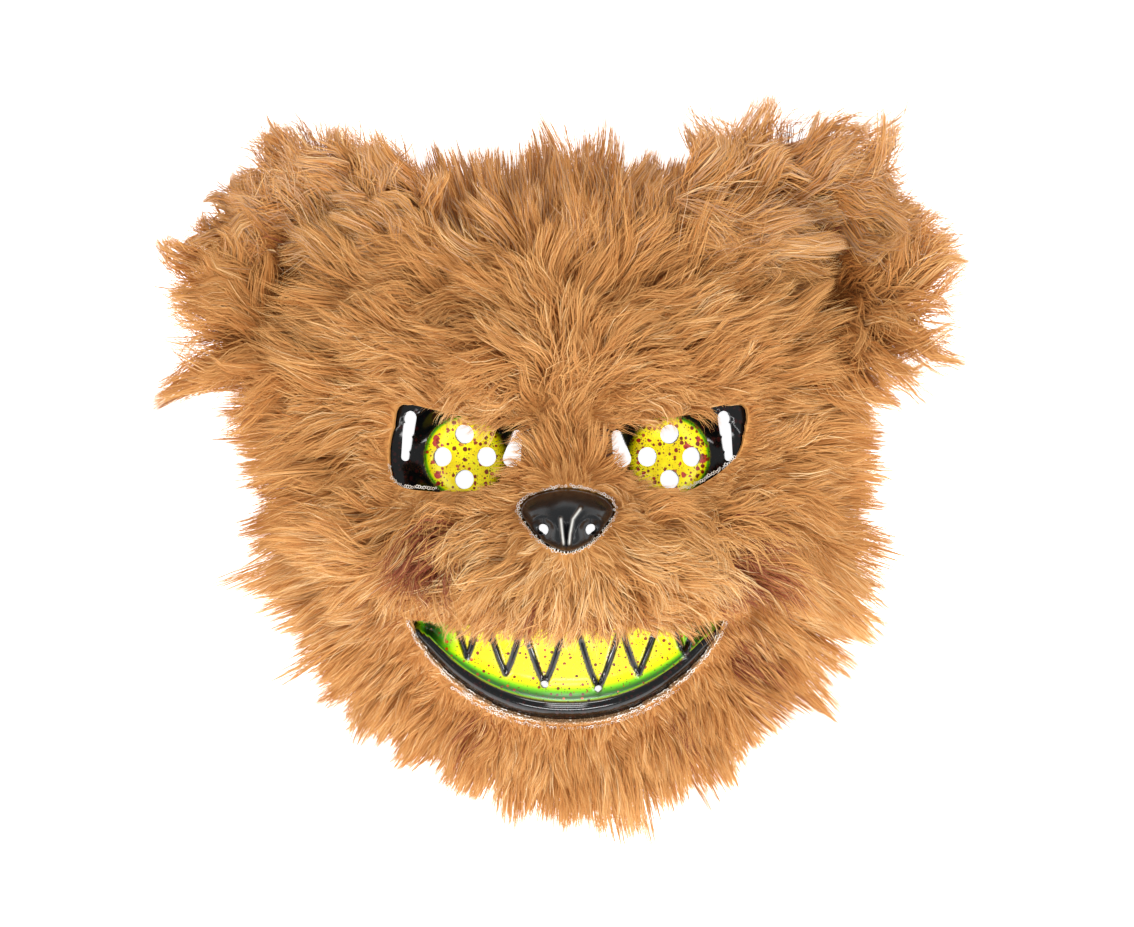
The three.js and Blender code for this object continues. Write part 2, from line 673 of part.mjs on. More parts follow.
function furEar(ear, seat) {
  const inward = polar(ear.angle + 180, 1);
  const rows = EAR_SECTION.map((point) => {
    const hollow = EAR_CUP * (1 - point.out ** 2);
    return Array.from({ length: EAR_COLUMNS }, (_, column) => {
      const heading = polar((360 * column) / EAR_COLUMNS, 1);
      const facing = heading.dot(inward);
      const flare = (EAR_FLARE * (1 + facing)) / 2;
      const at = heading.clone().multiplyScalar(EAR_RADIUS * (1 + flare));
      at.addScaledVector(inward, EAR_ROOT * Math.max(0, facing) - EAR_RADIUS * flare * facing);
      return at.multiplyScalar(point.out).setZ((point.up - hollow) * EAR_RADIUS);
    });
  });
  const points = rows.flat();
  const faces = [];
  const core = vec(0, 0, -EAR_RADIUS * EAR_CUP);
  for (let row = 0; row + 1 < rows.length; row++) {
    for (let column = 0; column < EAR_COLUMNS; column++) {
      const next = (column + 1) % EAR_COLUMNS;
      const keys = [[row, column], [row + 1, column], [row + 1, next], [row, next]];
      const cell = keys.map(([i, j]) => rows[i][j]);
      const middle = cell.reduce((sum, p) => sum.add(p), vec(0, 0, 0)).divideScalar(4);
      const normal = cell[2].clone().sub(cell[0]).cross(cell[3].clone().sub(cell[1])).normalize();
      const outward = vec(middle.x, middle.y, 0).normalize();
      const rooted = clamp01(1.2 * outward.dot(inward) - 0.1);
      const uneven = 0.75 + 0.5 * scatter(row + ROWS, column);
      const length = EAR_LOCK_LENGTH * uneven * (1 - rooted);
      const lean = middle.clone().sub(core).normalize();
      const tip = middle.clone().addScaledVector(outward, length * 0.7);
      tip.addScaledVector(normal, length * 0.45).addScaledVector(lean, length * 0.1);
      points.push(tip);
      faces.push(...peak(keys.map(([i, j]) => i * EAR_COLUMNS + j), points.length - 1));
    }
  }
  const padded = geometryOf(points, faces).applyMatrix4(earPlace(ear));
  return solidOf(padded).subtract(seat);
}

// Looks

const fur = new THREE.MeshStandardMaterial({ color: 0xc68e55, roughness: 0.9, metalness: 0 });
const plastic = new THREE.MeshStandardMaterial({ color: 0x15130f, roughness: 0.2, metalness: 0 });

// The object, moved so that its bounding box stands centred on the origin

const seat = earSeat();
const mask = new THREE.Group();
mask.add(meshOf(faceShell(), "face_shell", plastic));
mask.add(meshOf(furCover(), "fur_cover", fur));
for (const ear of EARS) mask.add(meshOf(furEar(ear, seat), ear.name, fur));
const middle = new THREE.Box3().setFromObject(mask, true).getCenter(vec());
mask.position.set(-middle.x, -middle.y, 0);

export default mask;
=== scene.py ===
# %% [markdown]
# # A furry bear face mask
# The mask lies face up on its rim. It is a vacuum-formed plastic shell with painted eyes, nose and teeth,
# a cover of long acrylic fur on a knitted backing that is glued over it, and two padded fur ears.
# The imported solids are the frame. Their sizes come first, so that each new piece lands where its solid is.

import math

import bpy
import numpy as np
from mathutils.kdtree import KDTree
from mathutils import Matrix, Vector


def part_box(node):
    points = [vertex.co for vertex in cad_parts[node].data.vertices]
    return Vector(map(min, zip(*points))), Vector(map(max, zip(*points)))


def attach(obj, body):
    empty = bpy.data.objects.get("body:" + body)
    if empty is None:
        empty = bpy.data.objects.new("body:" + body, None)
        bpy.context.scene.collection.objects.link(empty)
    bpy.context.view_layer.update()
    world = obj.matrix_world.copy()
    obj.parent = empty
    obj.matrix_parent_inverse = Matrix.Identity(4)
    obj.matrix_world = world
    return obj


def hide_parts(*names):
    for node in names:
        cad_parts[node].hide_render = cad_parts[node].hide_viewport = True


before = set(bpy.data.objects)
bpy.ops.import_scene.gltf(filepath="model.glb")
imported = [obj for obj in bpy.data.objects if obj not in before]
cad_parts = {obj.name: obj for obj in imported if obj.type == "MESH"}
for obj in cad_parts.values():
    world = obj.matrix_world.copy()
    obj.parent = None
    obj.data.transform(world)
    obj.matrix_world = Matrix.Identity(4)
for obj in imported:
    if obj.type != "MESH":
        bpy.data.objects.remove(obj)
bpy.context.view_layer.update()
shell_low, shell_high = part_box("face_shell")
# The face form is drawn about the middle of the rim, in millimetres
MIDDLE = np.array([(shell_low[0] + shell_high[0]) / 2, (shell_low[1] + shell_high[1]) / 2, 0.0])
MM = 0.001
print("middle of the rim, mm", np.round(MIDDLE / MM, 2))

# %% [markdown]
# ## Camera, floor and light
# The photograph looks straight down the nose. The mask lies on its back, so the camera hangs above it with
# a long lens, and the picture's upright is +Y. Large soft lamps stand in for the studio's light boxes.
# The floor gives off some light of its own, because the photograph's ground is pure white, also where it
# shows through the sight holes.

# %% Camera
CAMERA_HEIGHT = 1.372
VIEW_WIDTH = 0.4366
EYE_PLANE = 0.072


def linear(code):
    """An sRGB hex colour as the linear numbers that Blender works in."""
    parts = [int(code[i : i + 2], 16) / 255 for i in (1, 3, 5)]
    return tuple(c / 12.92 if c <= 0.04045 else ((c + 0.055) / 1.055) ** 2.4 for c in parts) + (1.0,)


camera_data = bpy.data.cameras.new("photo_camera")
camera_data.sensor_width = 36
camera_data.lens = 36 * (CAMERA_HEIGHT - EYE_PLANE) / VIEW_WIDTH
camera_data.clip_end = 20
camera = bpy.data.objects.new("photo_camera", camera_data)
camera.location = (MIDDLE[0], MIDDLE[1] + 0.0088, CAMERA_HEIGHT)
bpy.context.scene.collection.objects.link(camera)
bpy.context.scene.camera = camera
print("lens, mm", round(camera_data.lens, 1))


# %% [markdown]
# Every finish is built from nodes, so one small helper adds a node with its settings and what feeds it.


# %% A helper that adds a node
def feed(tree, socket, value):
    """Links a socket to what feeds it, or sets it to a fixed value."""
    if isinstance(value, bpy.types.NodeSocket):
        tree.links.new(value, socket)
    else:
        socket.default_value = value


def node(tree, kind, settings=None, **links):
    """Adds a node. Settings are its properties, and links are sockets by name or number, fed or set."""
    made = tree.nodes.new(kind)
    for name, value in (settings or {}).items():
        setattr(made, name, value)
    for name, value in links.items():
        numbered = name[:1] == "i" and name[1:].isdigit()
        feed(tree, made.inputs[int(name[1:]) if numbered else name.replace("_", " ")], value)
    return made


def new_material(name):
    made = bpy.data.materials.new(name)
    made.use_nodes = True
    made.node_tree.nodes.clear()
    return made, made.node_tree


# %% [markdown]
# Gloss black plastic shows every lamp, and fur shows none. So a photographer lights the fur from two large
# boxes, shields the plastic from them, and sets long narrow strips low at the sides, which draw thin lines
# on the gloss. Here a lamp's two switches do what the shields do.

# %% Floor and lamps
bpy.ops.object.select_all(action="DESELECT")
bpy.ops.mesh.primitive_plane_add(size=6, location=(0, 0, -0.0002))
floor = bpy.context.object
floor.name = "studio_floor"
paper, tree = new_material("white_paper_sweep")
shade = node(tree, "ShaderNodeBsdfPrincipled", Base_Color=linear("#FFFFFF"), Roughness=0.9)
shade.inputs["Emission Color"].default_value = (1, 1, 1, 1)
shade.inputs["Emission Strength"].default_value = 1.0
node(tree, "ShaderNodeOutputMaterial", Surface=shade.outputs[0])
floor.data.materials.append(paper)

LAMPS = [
    # name, x, y, z, width, height, power, lights the fur, shows as gloss
    ("left_box", -0.95, 0.1, 1.35, 0.4, 0.4, 7.4, True, False),
    ("right_box", 0.95, -0.15, 1.35, 0.4, 0.4, 10.9, True, False),
    ("chin_box", 0.0, -1.05, 1.05, 0.7, 0.2, 11, True, True),
    ("left_strip", -1.05, 0.0, 0.75, 2.0, 0.04, 9, False, True),
    ("right_strip", 1.05, 0.0, 0.75, 2.0, 0.04, 9, False, True),
    ("chin_strip", 0.0, -1.25, 0.45, 1.2, 0.12, 20, False, True),
]
for name, x, y, z, width, height, power, on_fur, on_gloss in LAMPS:
    data = bpy.data.lights.new(name, "AREA")
    data.shape = "RECTANGLE"
    data.size, data.size_y, data.energy = width, height, power
    lamp = bpy.data.objects.new(name, data)
    lamp.location = (x, y, z)
    toward = -lamp.location.copy()
    lamp.rotation_euler = toward.to_track_quat("-Z", "Y").to_euler()
    lamp.visible_diffuse, lamp.visible_glossy = on_fur, on_gloss
    bpy.context.scene.collection.objects.link(lamp)
world = bpy.data.worlds.new("studio_air")
world.use_nodes = True
world.node_tree.nodes["Background"].inputs["Color"].default_value = (1, 1, 1, 1)
world.node_tree.nodes["Background"].inputs["Strength"].default_value = 0.84
bpy.context.scene.world = world
bpy.context.scene.view_settings.view_transform = "Standard"
print("lamps", len(LAMPS))

# %% [markdown]
# ## The face form
# One formula gives the height of the face everywhere, so the plastic, the cloth and the roots of the fur all
# follow the same form: a dome over an egg-shaped rim, plus soft bumps for the muzzle, brow, cheeks and chin.
# The numbers are the ones that the solids were made from.

# %% Sizes in millimetres
FACE_WIDTH, FACE_HEIGHT, FACE_DEPTH = 194, 218, 68
CHIN_SQUARENESS, CROWN_SQUARENESS, DOME_FULLNESS = 2.1, 2.7, 2.6
SHELL_WALL = 1.5
BACKING_LIFT = 2.1  # from the shell to the outside of the knitted backing
HEM_LIFT = 1.0
EYE_X, EYE_Y = 39.8, 11.4
EYEBALL_RADIUS, EYEBALL_RISE = 16.0, 8.5
SOCKET_WIDTH, SOCKET_HEIGHT, SOCKET_DEPTH = 61, 46, 6
NOSE_WIDTH, NOSE_HEIGHT, NOSE_Y, NOSE_RISE = 36, 24, -12.5, 10
MOUTH_WIDTH, MOUTH_HEIGHT, MOUTH_DROP, MOUTH_ARCH, MOUTH_DEPTH = 122, 39.4, 52, 2, 5
LIP_WIDTH, LIP_RISE = 7, 2.2

RELIEF = [
    # name, x, y, spread x, spread y, rise, as shares of half the width, half the height and the depth
    ("muzzle", 0, -0.41, 0.46, 0.37, 0.44),
    ("nose bridge", 0, -0.12, 0.19, 0.2, 0.2),
    ("brow", 0.36, 0.36, 0.34, 0.16, 0.17),
    ("eye hollow", 0.42, 0.1, 0.2, 0.13, -0.12),
    ("cheek", 0.62, -0.34, 0.22, 0.3, 0.12),
    ("chin", 0, -0.87, 0.36, 0.11, 0.12),
]


def smooth(x):
    x = np.clip(x, 0, 1)
    return x * x * (3 - 2 * x)


def rim_radius(angle):
    power = CHIN_SQUARENESS + smooth((1 + np.sin(angle)) / 2) * (CROWN_SQUARENESS - CHIN_SQUARENESS)
    x = np.abs(np.cos(angle)) / (FACE_WIDTH / 2)
    y = np.abs(np.sin(angle)) / (FACE_HEIGHT / 2)
    return (x**power + y**power) ** (-1 / power)


def relief_at(x, y):
    across, along = x / (FACE_WIDTH / 2), y / (FACE_HEIGHT / 2)
    rise = np.zeros_like(across)
    for _, at_x, at_y, spread_x, spread_y, height in RELIEF:
        for side in (-1, 1) if at_x > 0 else (1,):
            dx, dy = (across - side * at_x) / spread_x, (along - at_y) / spread_y
            rise += height * np.exp(-dx * dx - dy * dy)
    return rise * FACE_DEPTH


def skin_point(angle, way):
    """A point of the form: angle round the face, and way from 0 at its middle to 1 at the rim."""
    turn = way * math.pi / 2
    share = np.sin(turn) ** (2 / DOME_FULLNESS)
    radius = rim_radius(angle) * share
    x, y = radius * np.cos(angle), radius * np.sin(angle)
    dome = FACE_DEPTH * np.clip(np.cos(turn), 0, None) ** (2 / DOME_FULLNESS)
    height = dome + relief_at(x, y) * (1 - smooth((share - 0.72) / 0.28))
    return np.stack([x, y, np.where(way >= 1, 0, height)], -1)


def skin_normal(angle, way):
    low = np.clip(way, 0.02, 0.994) - 0.004
    away = skin_point(angle, low + 0.008) - skin_point(angle, low)
    around = skin_point(angle + 0.004, low) - skin_point(angle - 0.004, low)
    normal = np.cross(away, around)
    return normal / np.linalg.norm(normal, axis=-1, keepdims=True)


# %% [markdown]
# A round disc of small faces is the blank for the plastic and for the cloth. It starts as a flat grid, as
# the plastic sheet does before it is drawn down over the mould. The places that need fine detail are cut
# finer, and then each point is moved to its place on the form.

# %% A grid drawn over the form
ways = np.linspace(0, 1, 400)
profile = skin_point(np.full(400, 0.9), ways)
length = np.concatenate([[0], np.cumsum(np.linalg.norm(np.diff(profile, axis=0), axis=1))])
length /= length[-1]


def disc_places(flat):
    """Places of a square grid from -1 to 1, as angle and way on the form."""
    u, v = flat[:, 0], flat[:, 1]
    wide = np.abs(u) > np.abs(v)
    radius = np.where(wide, u, v)
    safe = np.where(radius == 0, 1, radius)
    angle = np.where(wide, math.pi / 4 * v / safe, math.pi / 2 - math.pi / 4 * u / safe)
    angle = np.where(radius < 0, angle + math.pi, angle)
    return angle, np.interp(np.abs(radius), length, ways)


def coordinates(mesh):
    found = np.empty(len(mesh.vertices) * 3)
    mesh.vertices.foreach_get("co", found)
    return found.reshape(-1, 3)


def move_to(mesh, places):
    mesh.vertices.foreach_set("co", np.asarray(places, dtype=np.float64).ravel())
    mesh.update()


def select_where(mesh, chosen, kind="faces"):
    """Selects faces or points by a list of true and false, with everything else let go."""
    for items in (mesh.vertices, mesh.edges, mesh.polygons):
        items.foreach_set("select", np.zeros(len(items), bool))
    items = mesh.polygons if kind == "faces" else mesh.vertices
    items.foreach_set("select", np.asarray(chosen, bool))
    mesh.update()


def edit(*steps, mode="FACE"):
    bpy.ops.object.mode_set(mode="EDIT")
    bpy.ops.mesh.select_mode(type=mode)
    for step in steps:
        step()
    bpy.ops.object.mode_set(mode="OBJECT")


def face_middles(mesh):
    found = np.empty(len(mesh.polygons) * 3)
    mesh.polygons.foreach_get("center", found)
    return found.reshape(-1, 3)


def drawn_blank(name, cells, fine_zones):
    """A grid laid over the form, cut finer where a zone's function of x and y says so."""
    bpy.ops.object.select_all(action="DESELECT")
    bpy.ops.mesh.primitive_grid_add(x_subdivisions=cells, y_subdivisions=cells, size=2)
    blank = bpy.context.object
    blank.name = name
    mesh = blank.data
    for cuts, is_fine in fine_zones:
        angle, way = disc_places(face_middles(mesh))
        select_where(mesh, is_fine(skin_point(angle, way)))
        edit(lambda: bpy.ops.mesh.subdivide(number_cuts=cuts))
    angle, way = disc_places(coordinates(mesh))
    return blank, angle, way


def slot_distance(x, y, start, end, width_start, width_end):
    """Distance from the edge of a slot with round ends, less than 0 inside it."""
    along = np.array(end) - np.array(start)
    share = np.clip(((x - start[0]) * along[0] + (y - start[1]) * along[1]) / (along @ along), 0, 1)
    away = np.hypot(x - start[0] - share * along[0], y - start[1] - share * along[1])
    return away - (width_start + share * (width_end - width_start)) / 2


def polygon_distance(x, y, outline):
    """Distance from the edge of a closed outline, less than 0 inside it."""
    best = np.full(np.shape(x), np.inf)
    inside = np.zeros(np.shape(x), bool)
    for a, b in zip(outline, np.roll(outline, -1, axis=0)):
        edge = b - a
        share = np.clip(((x - a[0]) * edge[0] + (y - a[1]) * edge[1]) / max(edge @ edge, 1e-9), 0, 1)
        best = np.minimum(best, np.hypot(x - a[0] - share * edge[0], y - a[1] - share * edge[1]))
        crosses = (a[1] > y) != (b[1] > y)
        inside ^= crosses & (x < a[0] + (y - a[1]) / (edge[1] if edge[1] else 1e-9) * edge[0])
    return np.where(inside, -best, best)


# %% [markdown]
# ## Where the cover is cut open
# Each window is a smooth loop through a few points, given as shares of its half width and half height.
# The photograph's windows: two slanted eyes, the nose, and a wide grin.

# %% Windows
EYE_WINDOW = [
    (-1.0, 0.3), (-0.78, -0.34), (-0.36, -0.86), (0.1, -1.0), (0.5, -0.74), (0.86, -0.28),
    (1.0, 0.16), (1.0, 0.9), (0.3, 0.74), (-0.4, 0.58),
]
# The left one is cut squarer at its lower outer corner
LEFT_EYE_WINDOW = [
    (-1.0, 0.3), (-0.78, -0.34), (-0.36, -0.86), (0.1, -0.98), (0.5, -0.96), (0.83, -0.88),
    (0.98, -0.64), (1.02, -0.08), (0.96, 0.4), (0.85, 0.9), (0.3, 0.74), (-0.4, 0.58),
]
NOSE_WINDOW = [
    (-1.0, 0.3), (-0.78, -0.28), (-0.44, -0.76), (0, -1.0), (0.44, -0.76), (0.78, -0.28),
    (1.0, 0.3), (0.74, 0.76), (0, 1.0), (-0.74, 0.76),
]


def loop_through(points, steps=6):
    """A smooth closed curve through points, as a plasterer's bent batten would give."""
    points = np.array(points, float)
    before, after, later = np.roll(points, 1, 0), np.roll(points, -1, 0), np.roll(points, -2, 0)
    found = []
    for t in np.arange(steps) / steps:
        bend = 2 * before - 5 * points + 4 * after - later
        twist = -before + 3 * points - 3 * after + later
        found.append(0.5 * (2 * points + (after - before) * t + bend * t * t + twist * t**3))
    return np.stack(found, 1).reshape(-1, 2)


def mouth_sag(across):
    return np.clip(1 - np.abs(across) ** 2.2, 0, 1) ** 0.8


def mouth_top(across):
    return -MOUTH_DROP - MOUTH_ARCH * (1 - across * across)


def mouth_bottom(across):
    return -MOUTH_DROP - MOUTH_HEIGHT * mouth_sag(across)


eye_right = loop_through(np.array(EYE_WINDOW) * [28.5, 17.5] + [EYE_X, EYE_Y + 4])
eye_left = loop_through(np.array(LEFT_EYE_WINDOW) * [28.5, 17.5] + [EYE_X, EYE_Y + 4]) * [-1, 1]
nose_loop = loop_through(np.array(NOSE_WINDOW) * [NOSE_WIDTH / 2, NOSE_HEIGHT / 2] + [0, NOSE_Y])
grin = np.linspace(-1, 1, 41)
mouth_loop = np.concatenate(
    [
        np.stack([grin * MOUTH_WIDTH / 2, mouth_bottom(grin)], 1),
        np.stack([grin * MOUTH_WIDTH / 2, mouth_top(grin)], 1)[-2:0:-1],
    ]
)
WINDOWS = {"eye_left": eye_left, "eye_right": eye_right, "nose": nose_loop, "mouth": mouth_loop}
for name, window in WINDOWS.items():
    print(name, "window, mm", np.round(np.ptp(window, axis=0), 1))


def window_distance(x, y):
    return np.min([polygon_distance(x, y, loop) for loop in WINDOWS.values()], axis=0)


# %% [markdown]
# ## The formed shell
# The real shell is a sheet of PVC, warmed and drawn down over a mould by vacuum, then trimmed and punched.
# The same order works here: draw the blank over the form, press in the eyes, nose, lip and fangs, punch the
# holes, and give the sheet its thickness. Nothing else has sharp relief, so only those places are cut fine.

# %% Relief that the mould presses into the sheet
FANGS = [
    # x as a share of half the mouth's width, tip as a share of its height, half-width between the arms, hole
    (-0.634, 0.5, 0.06, False),
    (-0.39, 0.56, 0.1, False),
    (-0.143, 0.61, 0.12, True),
    (0.2, 0.67, 0.13, True),
    (0.455, 0.59, 0.11, False),
    (0.75, 0.57, 0.07, False),
]


def eye_relief(x, y):
    """Pressed depth round an eye, and how far out from the eyeball's middle a place lies."""
    dx, dy = np.abs(x) - EYE_X, y - EYE_Y
    away = np.hypot(dx, dy)
    share = np.hypot(dx / (SOCKET_WIDTH / 2), dy / (SOCKET_HEIGHT / 2)) / np.maximum(away, 1e-6)
    edge_radius = 1 / np.maximum(share, 1e-6)
    out = (away - EYEBALL_RADIUS) / np.maximum(edge_radius - EYEBALL_RADIUS, 1)
    dome = EYEBALL_RISE * np.sqrt(np.clip(1 - (away / EYEBALL_RADIUS) ** 2, 0, 1))
    return np.where(away < EYEBALL_RADIUS, dome - SOCKET_DEPTH, -SOCKET_DEPTH * (1 - smooth(out))), away


def nose_relief(x, y):
    dy = y - NOSE_Y
    inside = np.clip(-polygon_distance(x, y, nose_loop) / 11.5, 0, 1)
    rise = NOSE_RISE * np.sqrt(1 - (1 - inside) ** 3.6)
    soft = smooth(inside * 4)
    for side in (-1, 1):
        away = np.hypot(x - side * 9.1, dy + 3.6)
        rise -= 3.4 * np.exp(-((away / 4.0) ** 2)) * soft
        # The rolled rim over each nostril, like a comma
        rim = np.exp(-(((np.hypot(x - side * 9.4, dy + 4.2) - 5.4) / 1.0) ** 2))
        rise += 1.0 * rim * smooth((dy + 5) / 4) * soft
    for ridge in NOSE_RIDGES:
        away = np.min([segment_away(x, dy, a, b) for a, b in zip(ridge, ridge[1:])], axis=0)
        rise += 1.3 * np.exp(-((away / 0.7) ** 2)) * soft
    groove = np.exp(-(((x + 0.2) / 0.7) ** 2)) * smooth((1 - dy) / 5)
    return rise - 1.6 * groove * soft


# Two raised lines that meet at the bottom of the nose, as x and y from its middle
NOSE_RIDGES = [[(-2.3, 0.5), (-1.7, -5), (-1.1, -10)], [(5.0, 4.2), (2.2, 0.5), (1.1, -5), (0.6, -10)]]


def segment_away(x, y, start, end):
    return slot_distance(x, y, start, end, 0, 0)


def fang_place(across, share):
    top, bottom = mouth_top(across), mouth_bottom(across)
    return np.array([across * MOUTH_WIDTH / 2, top + share * (bottom - top)])


def fang_distance(x, y):
    """Distance from the middle of the nearest fang's ridge."""
    away = np.full(np.shape(x), np.inf)
    for across, tip, spread, _ in FANGS:
        for side in (-1, 1):
            line = [
                fang_place(across + side * spread * (1 - s) ** 0.8, 0.02 + s * (tip - 0.02))
                for s in (0, 0.35, 0.7, 1)
            ]
            for a, b in zip(line, line[1:]):
                away = np.minimum(away, segment_away(x, y, a, b))
    return away


def mouth_relief(x, y):
    """Pressed depth of the mouth, how far down it a place lies, and the lip's share of the way."""
    across = np.clip(x / (MOUTH_WIDTH / 2), -1, 1)
    height = np.maximum(mouth_top(across) - mouth_bottom(across), 1e-6)
    share = (mouth_top(across) - y) / height
    lip = LIP_WIDTH / np.maximum(height, 2 * LIP_WIDTH)
    inside = (share > 0) & (share < 1) & (np.abs(x) < MOUTH_WIDTH / 2)
    roll = LIP_RISE * np.sin(math.pi * np.clip((1 - share) / lip, 0, 1))
    well = -MOUTH_DEPTH * smooth(share / 0.15) * smooth((1 - lip - share) / 0.3)
    rise = np.where(share > 1 - lip, roll, well)
    return np.where(inside, rise, 0), share, lip, inside


# %% [markdown]
# The sheet is punched where the wearer looks and breathes: four round holes in each eye, a slot at either
# side of it, the nostrils and two small holes at fangs' tips. Each hole is the edge of a distance function, so
# the ragged rows that are left after the points inside are deleted can be pulled on to the true outline.

# %% Draw, press, punch and thicken the sheet
def near_features(p):
    x, y = p[:, 0], p[:, 1]
    eyes = np.hypot((np.abs(x) - EYE_X) / 33, (y - EYE_Y) / 25) < 1
    nose = np.hypot(x / 21, (y - NOSE_Y) / 15) < 1
    mouth = polygon_distance(x, y, mouth_loop) < 2
    return eyes | nose | mouth


def near_nose_ridges(p):
    return (np.abs(p[:, 0] - 1.3) < 5.2) & (np.abs(p[:, 1] - NOSE_Y + 2.8) < 9)


def near_strap_slots(p):
    return (np.abs(p[:, 0]) > 80) & (np.abs(p[:, 1]) < 11) & (p[:, 2] < 26)


FOUR_WAYS = ((8.7, 0), (-8.7, 0), (0, 8.7), (0, -8.7))
SIGHT_HOLES = [(side * EYE_X + dx, EYE_Y + dy) for side in (-1, 1) for dx, dy in FOUR_WAYS]


def punched(p):
    """Distance from the nearest punched edge, less than 0 inside a hole."""
    x, y, z = p[:, 0], p[:, 1], p[:, 2]
    away = [np.hypot(x - hx, y - hy) - 3.7 for hx, hy in SIGHT_HOLES]
    away += [np.hypot(x - side * 9.1, y - NOSE_Y + 3.6) - 2.1 for side in (-1, 1)]
    for side in (-1, 1):
        top, end = (side * 61.0, EYE_Y + 15.2), (side * 63.0, EYE_Y)
        away.append(slot_distance(x, y, top, end, 5.2, 3.2))
        top, end = (side * 19.3, EYE_Y + 8.2), (side * 21.3, EYE_Y - 0.6)
        away.append(slot_distance(x, y, top, end, 4.2, 7))
    for across, tip, _, holed in FANGS:
        if holed:
            at = fang_place(across, tip)
            away.append(np.hypot(x - at[0], y - at[1]) - 1.55)
    strap = np.maximum(np.abs(y) - 6, np.abs(z - 14) - 1.5)
    away.append(np.where(np.abs(x) > 70, strap, 99))
    return np.min(away, axis=0)


def pressed(angle, way):
    p = skin_point(angle, way)
    x, y = p[:, 0], p[:, 1]
    near_eye = (np.abs(y - EYE_Y) < SOCKET_HEIGHT / 2) & (np.abs(np.abs(x) - EYE_X) < SOCKET_WIDTH / 2)
    p[:, 2] += eye_relief(x, y)[0] * near_eye
    p[:, 2] += np.where(polygon_distance(x, y, nose_loop) < 0, nose_relief(x, y), 0)
    rise, share, lip, inside = mouth_relief(x, y)
    ridge = 1.5 * np.exp(-((fang_distance(x, y) / 1.1) ** 2)) * inside * (share < 1 - 0.6 * lip)
    p[:, 2] += rise + ridge
    return p


FINE_ZONES = [(3, near_features), (1, near_nose_ridges), (1, near_strap_slots)]
shell, angle, way = drawn_blank("formed_shell", 96, FINE_ZONES)
flat_places = pressed(angle, way)
move_to(shell.data, flat_places)
distance = punched(flat_places)
select_where(shell.data, distance < 0, "points")
edit(lambda: bpy.ops.mesh.delete(type="VERT"), mode="VERT")
print("shell faces after punching", len(shell.data.polygons))


def snap_to_edge(obj, edge_distance, reach=2.5, skip_below=2.0):
    """Pulls the ragged edge points of a punched hole on to its true outline."""
    mesh = obj.data
    edit(
        lambda: bpy.ops.mesh.select_all(action="DESELECT"),
        lambda: bpy.ops.mesh.select_non_manifold(
            extend=False, use_wire=False, use_multi_face=False, use_non_contiguous=False, use_verts=False
        ),
        mode="VERT",
    )
    chosen = np.zeros(len(mesh.vertices), bool)
    mesh.vertices.foreach_get("select", chosen)
    p = coordinates(mesh)
    chosen &= (p[:, 2] > skip_below) & (edge_distance(p) < reach)
    at = p[chosen]
    for _ in range(3):
        here = edge_distance(at)
        step = 0.05
        slope = np.stack([(edge_distance(at + np.eye(3)[k] * step) - here) / step for k in range(3)], 1)
        at = at - slope * (here / np.maximum((slope**2).sum(1), 0.2))[:, None]
    p[chosen] = at
    move_to(mesh, p)
    print(obj.name, "edge points pulled in", int(chosen.sum()))


snap_to_edge(shell, punched)


def finish_sheet(obj, thickness, offset):
    """Sets a sheet in its place in metres and gives it its thickness and smooth shading."""
    bpy.ops.object.select_all(action="DESELECT")
    obj.select_set(True)
    bpy.context.view_layer.objects.active = obj
    move_to(obj.data, coordinates(obj.data) * MM + MIDDLE)
    wall = obj.modifiers.new("wall", "SOLIDIFY")
    wall.thickness, wall.offset = thickness * MM, offset
    wall.use_quality_normals = True
    bpy.ops.object.modifier_apply(modifier="wall")
    bpy.ops.object.shade_smooth_by_angle(angle=math.radians(50))


# %% [markdown]
# Paint follows the pressed relief: yellow on the eyeballs and the teeth, green where they meet the black, and
# a thin pale grey line painted along the nose's two ridges as a highlight. Its amounts are worked out from the
# same distances as the relief, and stored on the points, so they stay in register.

# %% Airbrush masks, stored on the points
def paint_masks(obj):
    """Where the yellow, the green and the black ridges lie, as an airbrush would lay them down."""
    p = coordinates(obj.data)
    x, y, front = p[:, 0], p[:, 1], p[:, 2] > 30
    _, away = eye_relief(x, y)
    eye = smooth((EYEBALL_RADIUS + 0.3 - away) / 0.8)
    more_outside = 0.25 + 0.75 * smooth((np.abs(x) - EYE_X + 6) / 10)
    eye_green = smooth((away - EYEBALL_RADIUS + 2.2) / 2.4) * eye * more_outside
    _, share, lip, inside = mouth_relief(x, y)
    teeth = inside * smooth((1 - lip - share) / 0.04 - 0.5) * smooth((60 - np.abs(x)) / 6)
    low_green = smooth((share - (1 - lip) + 0.26) / 0.22)
    side_green = smooth((np.abs(x) - 37) / 16)
    ridge = smooth((1.75 - fang_distance(x, y)) / 0.7)
    yellow = np.clip(eye + teeth * (1 - ridge), 0, 1) * front
    green = np.clip(eye_green + teeth * np.maximum(low_green, side_green), 0, 1) * front
    outer = smooth((np.abs(x) - EYE_X + 4) / 8) * eye
    inner = smooth((EYE_X - 2 - np.abs(x)) / 9) * eye
    nose = smooth(-polygon_distance(x, y, nose_loop) / 2) * front
    # A painted highlight: a thin pale line along each of the nose's two ridges
    lines = [segment_away(x, y - NOSE_Y, a, b) for ridge in NOSE_RIDGES for a, b in zip(ridge, ridge[1:])]
    pale = np.exp(-((np.min(lines, axis=0) / 0.42) ** 2)) * smooth((y - NOSE_Y + 9.6) / 1.5) * front
    masks = {
        "yellow_paint": yellow, "green_paint": green, "eye_paint": eye, "red_blotches": outer,
        "fine_speckle": inner, "satin_nose": nose, "painted_ridge_highlight": pale,
    }
    for name, values in masks.items():
        layer = obj.data.attributes.new(name, "FLOAT", "POINT")
        layer.data.foreach_set("value", values.astype(np.float32))


paint_masks(shell)
outer_points = len(shell.data.vertices)
finish_sheet(shell, SHELL_WALL, -1)
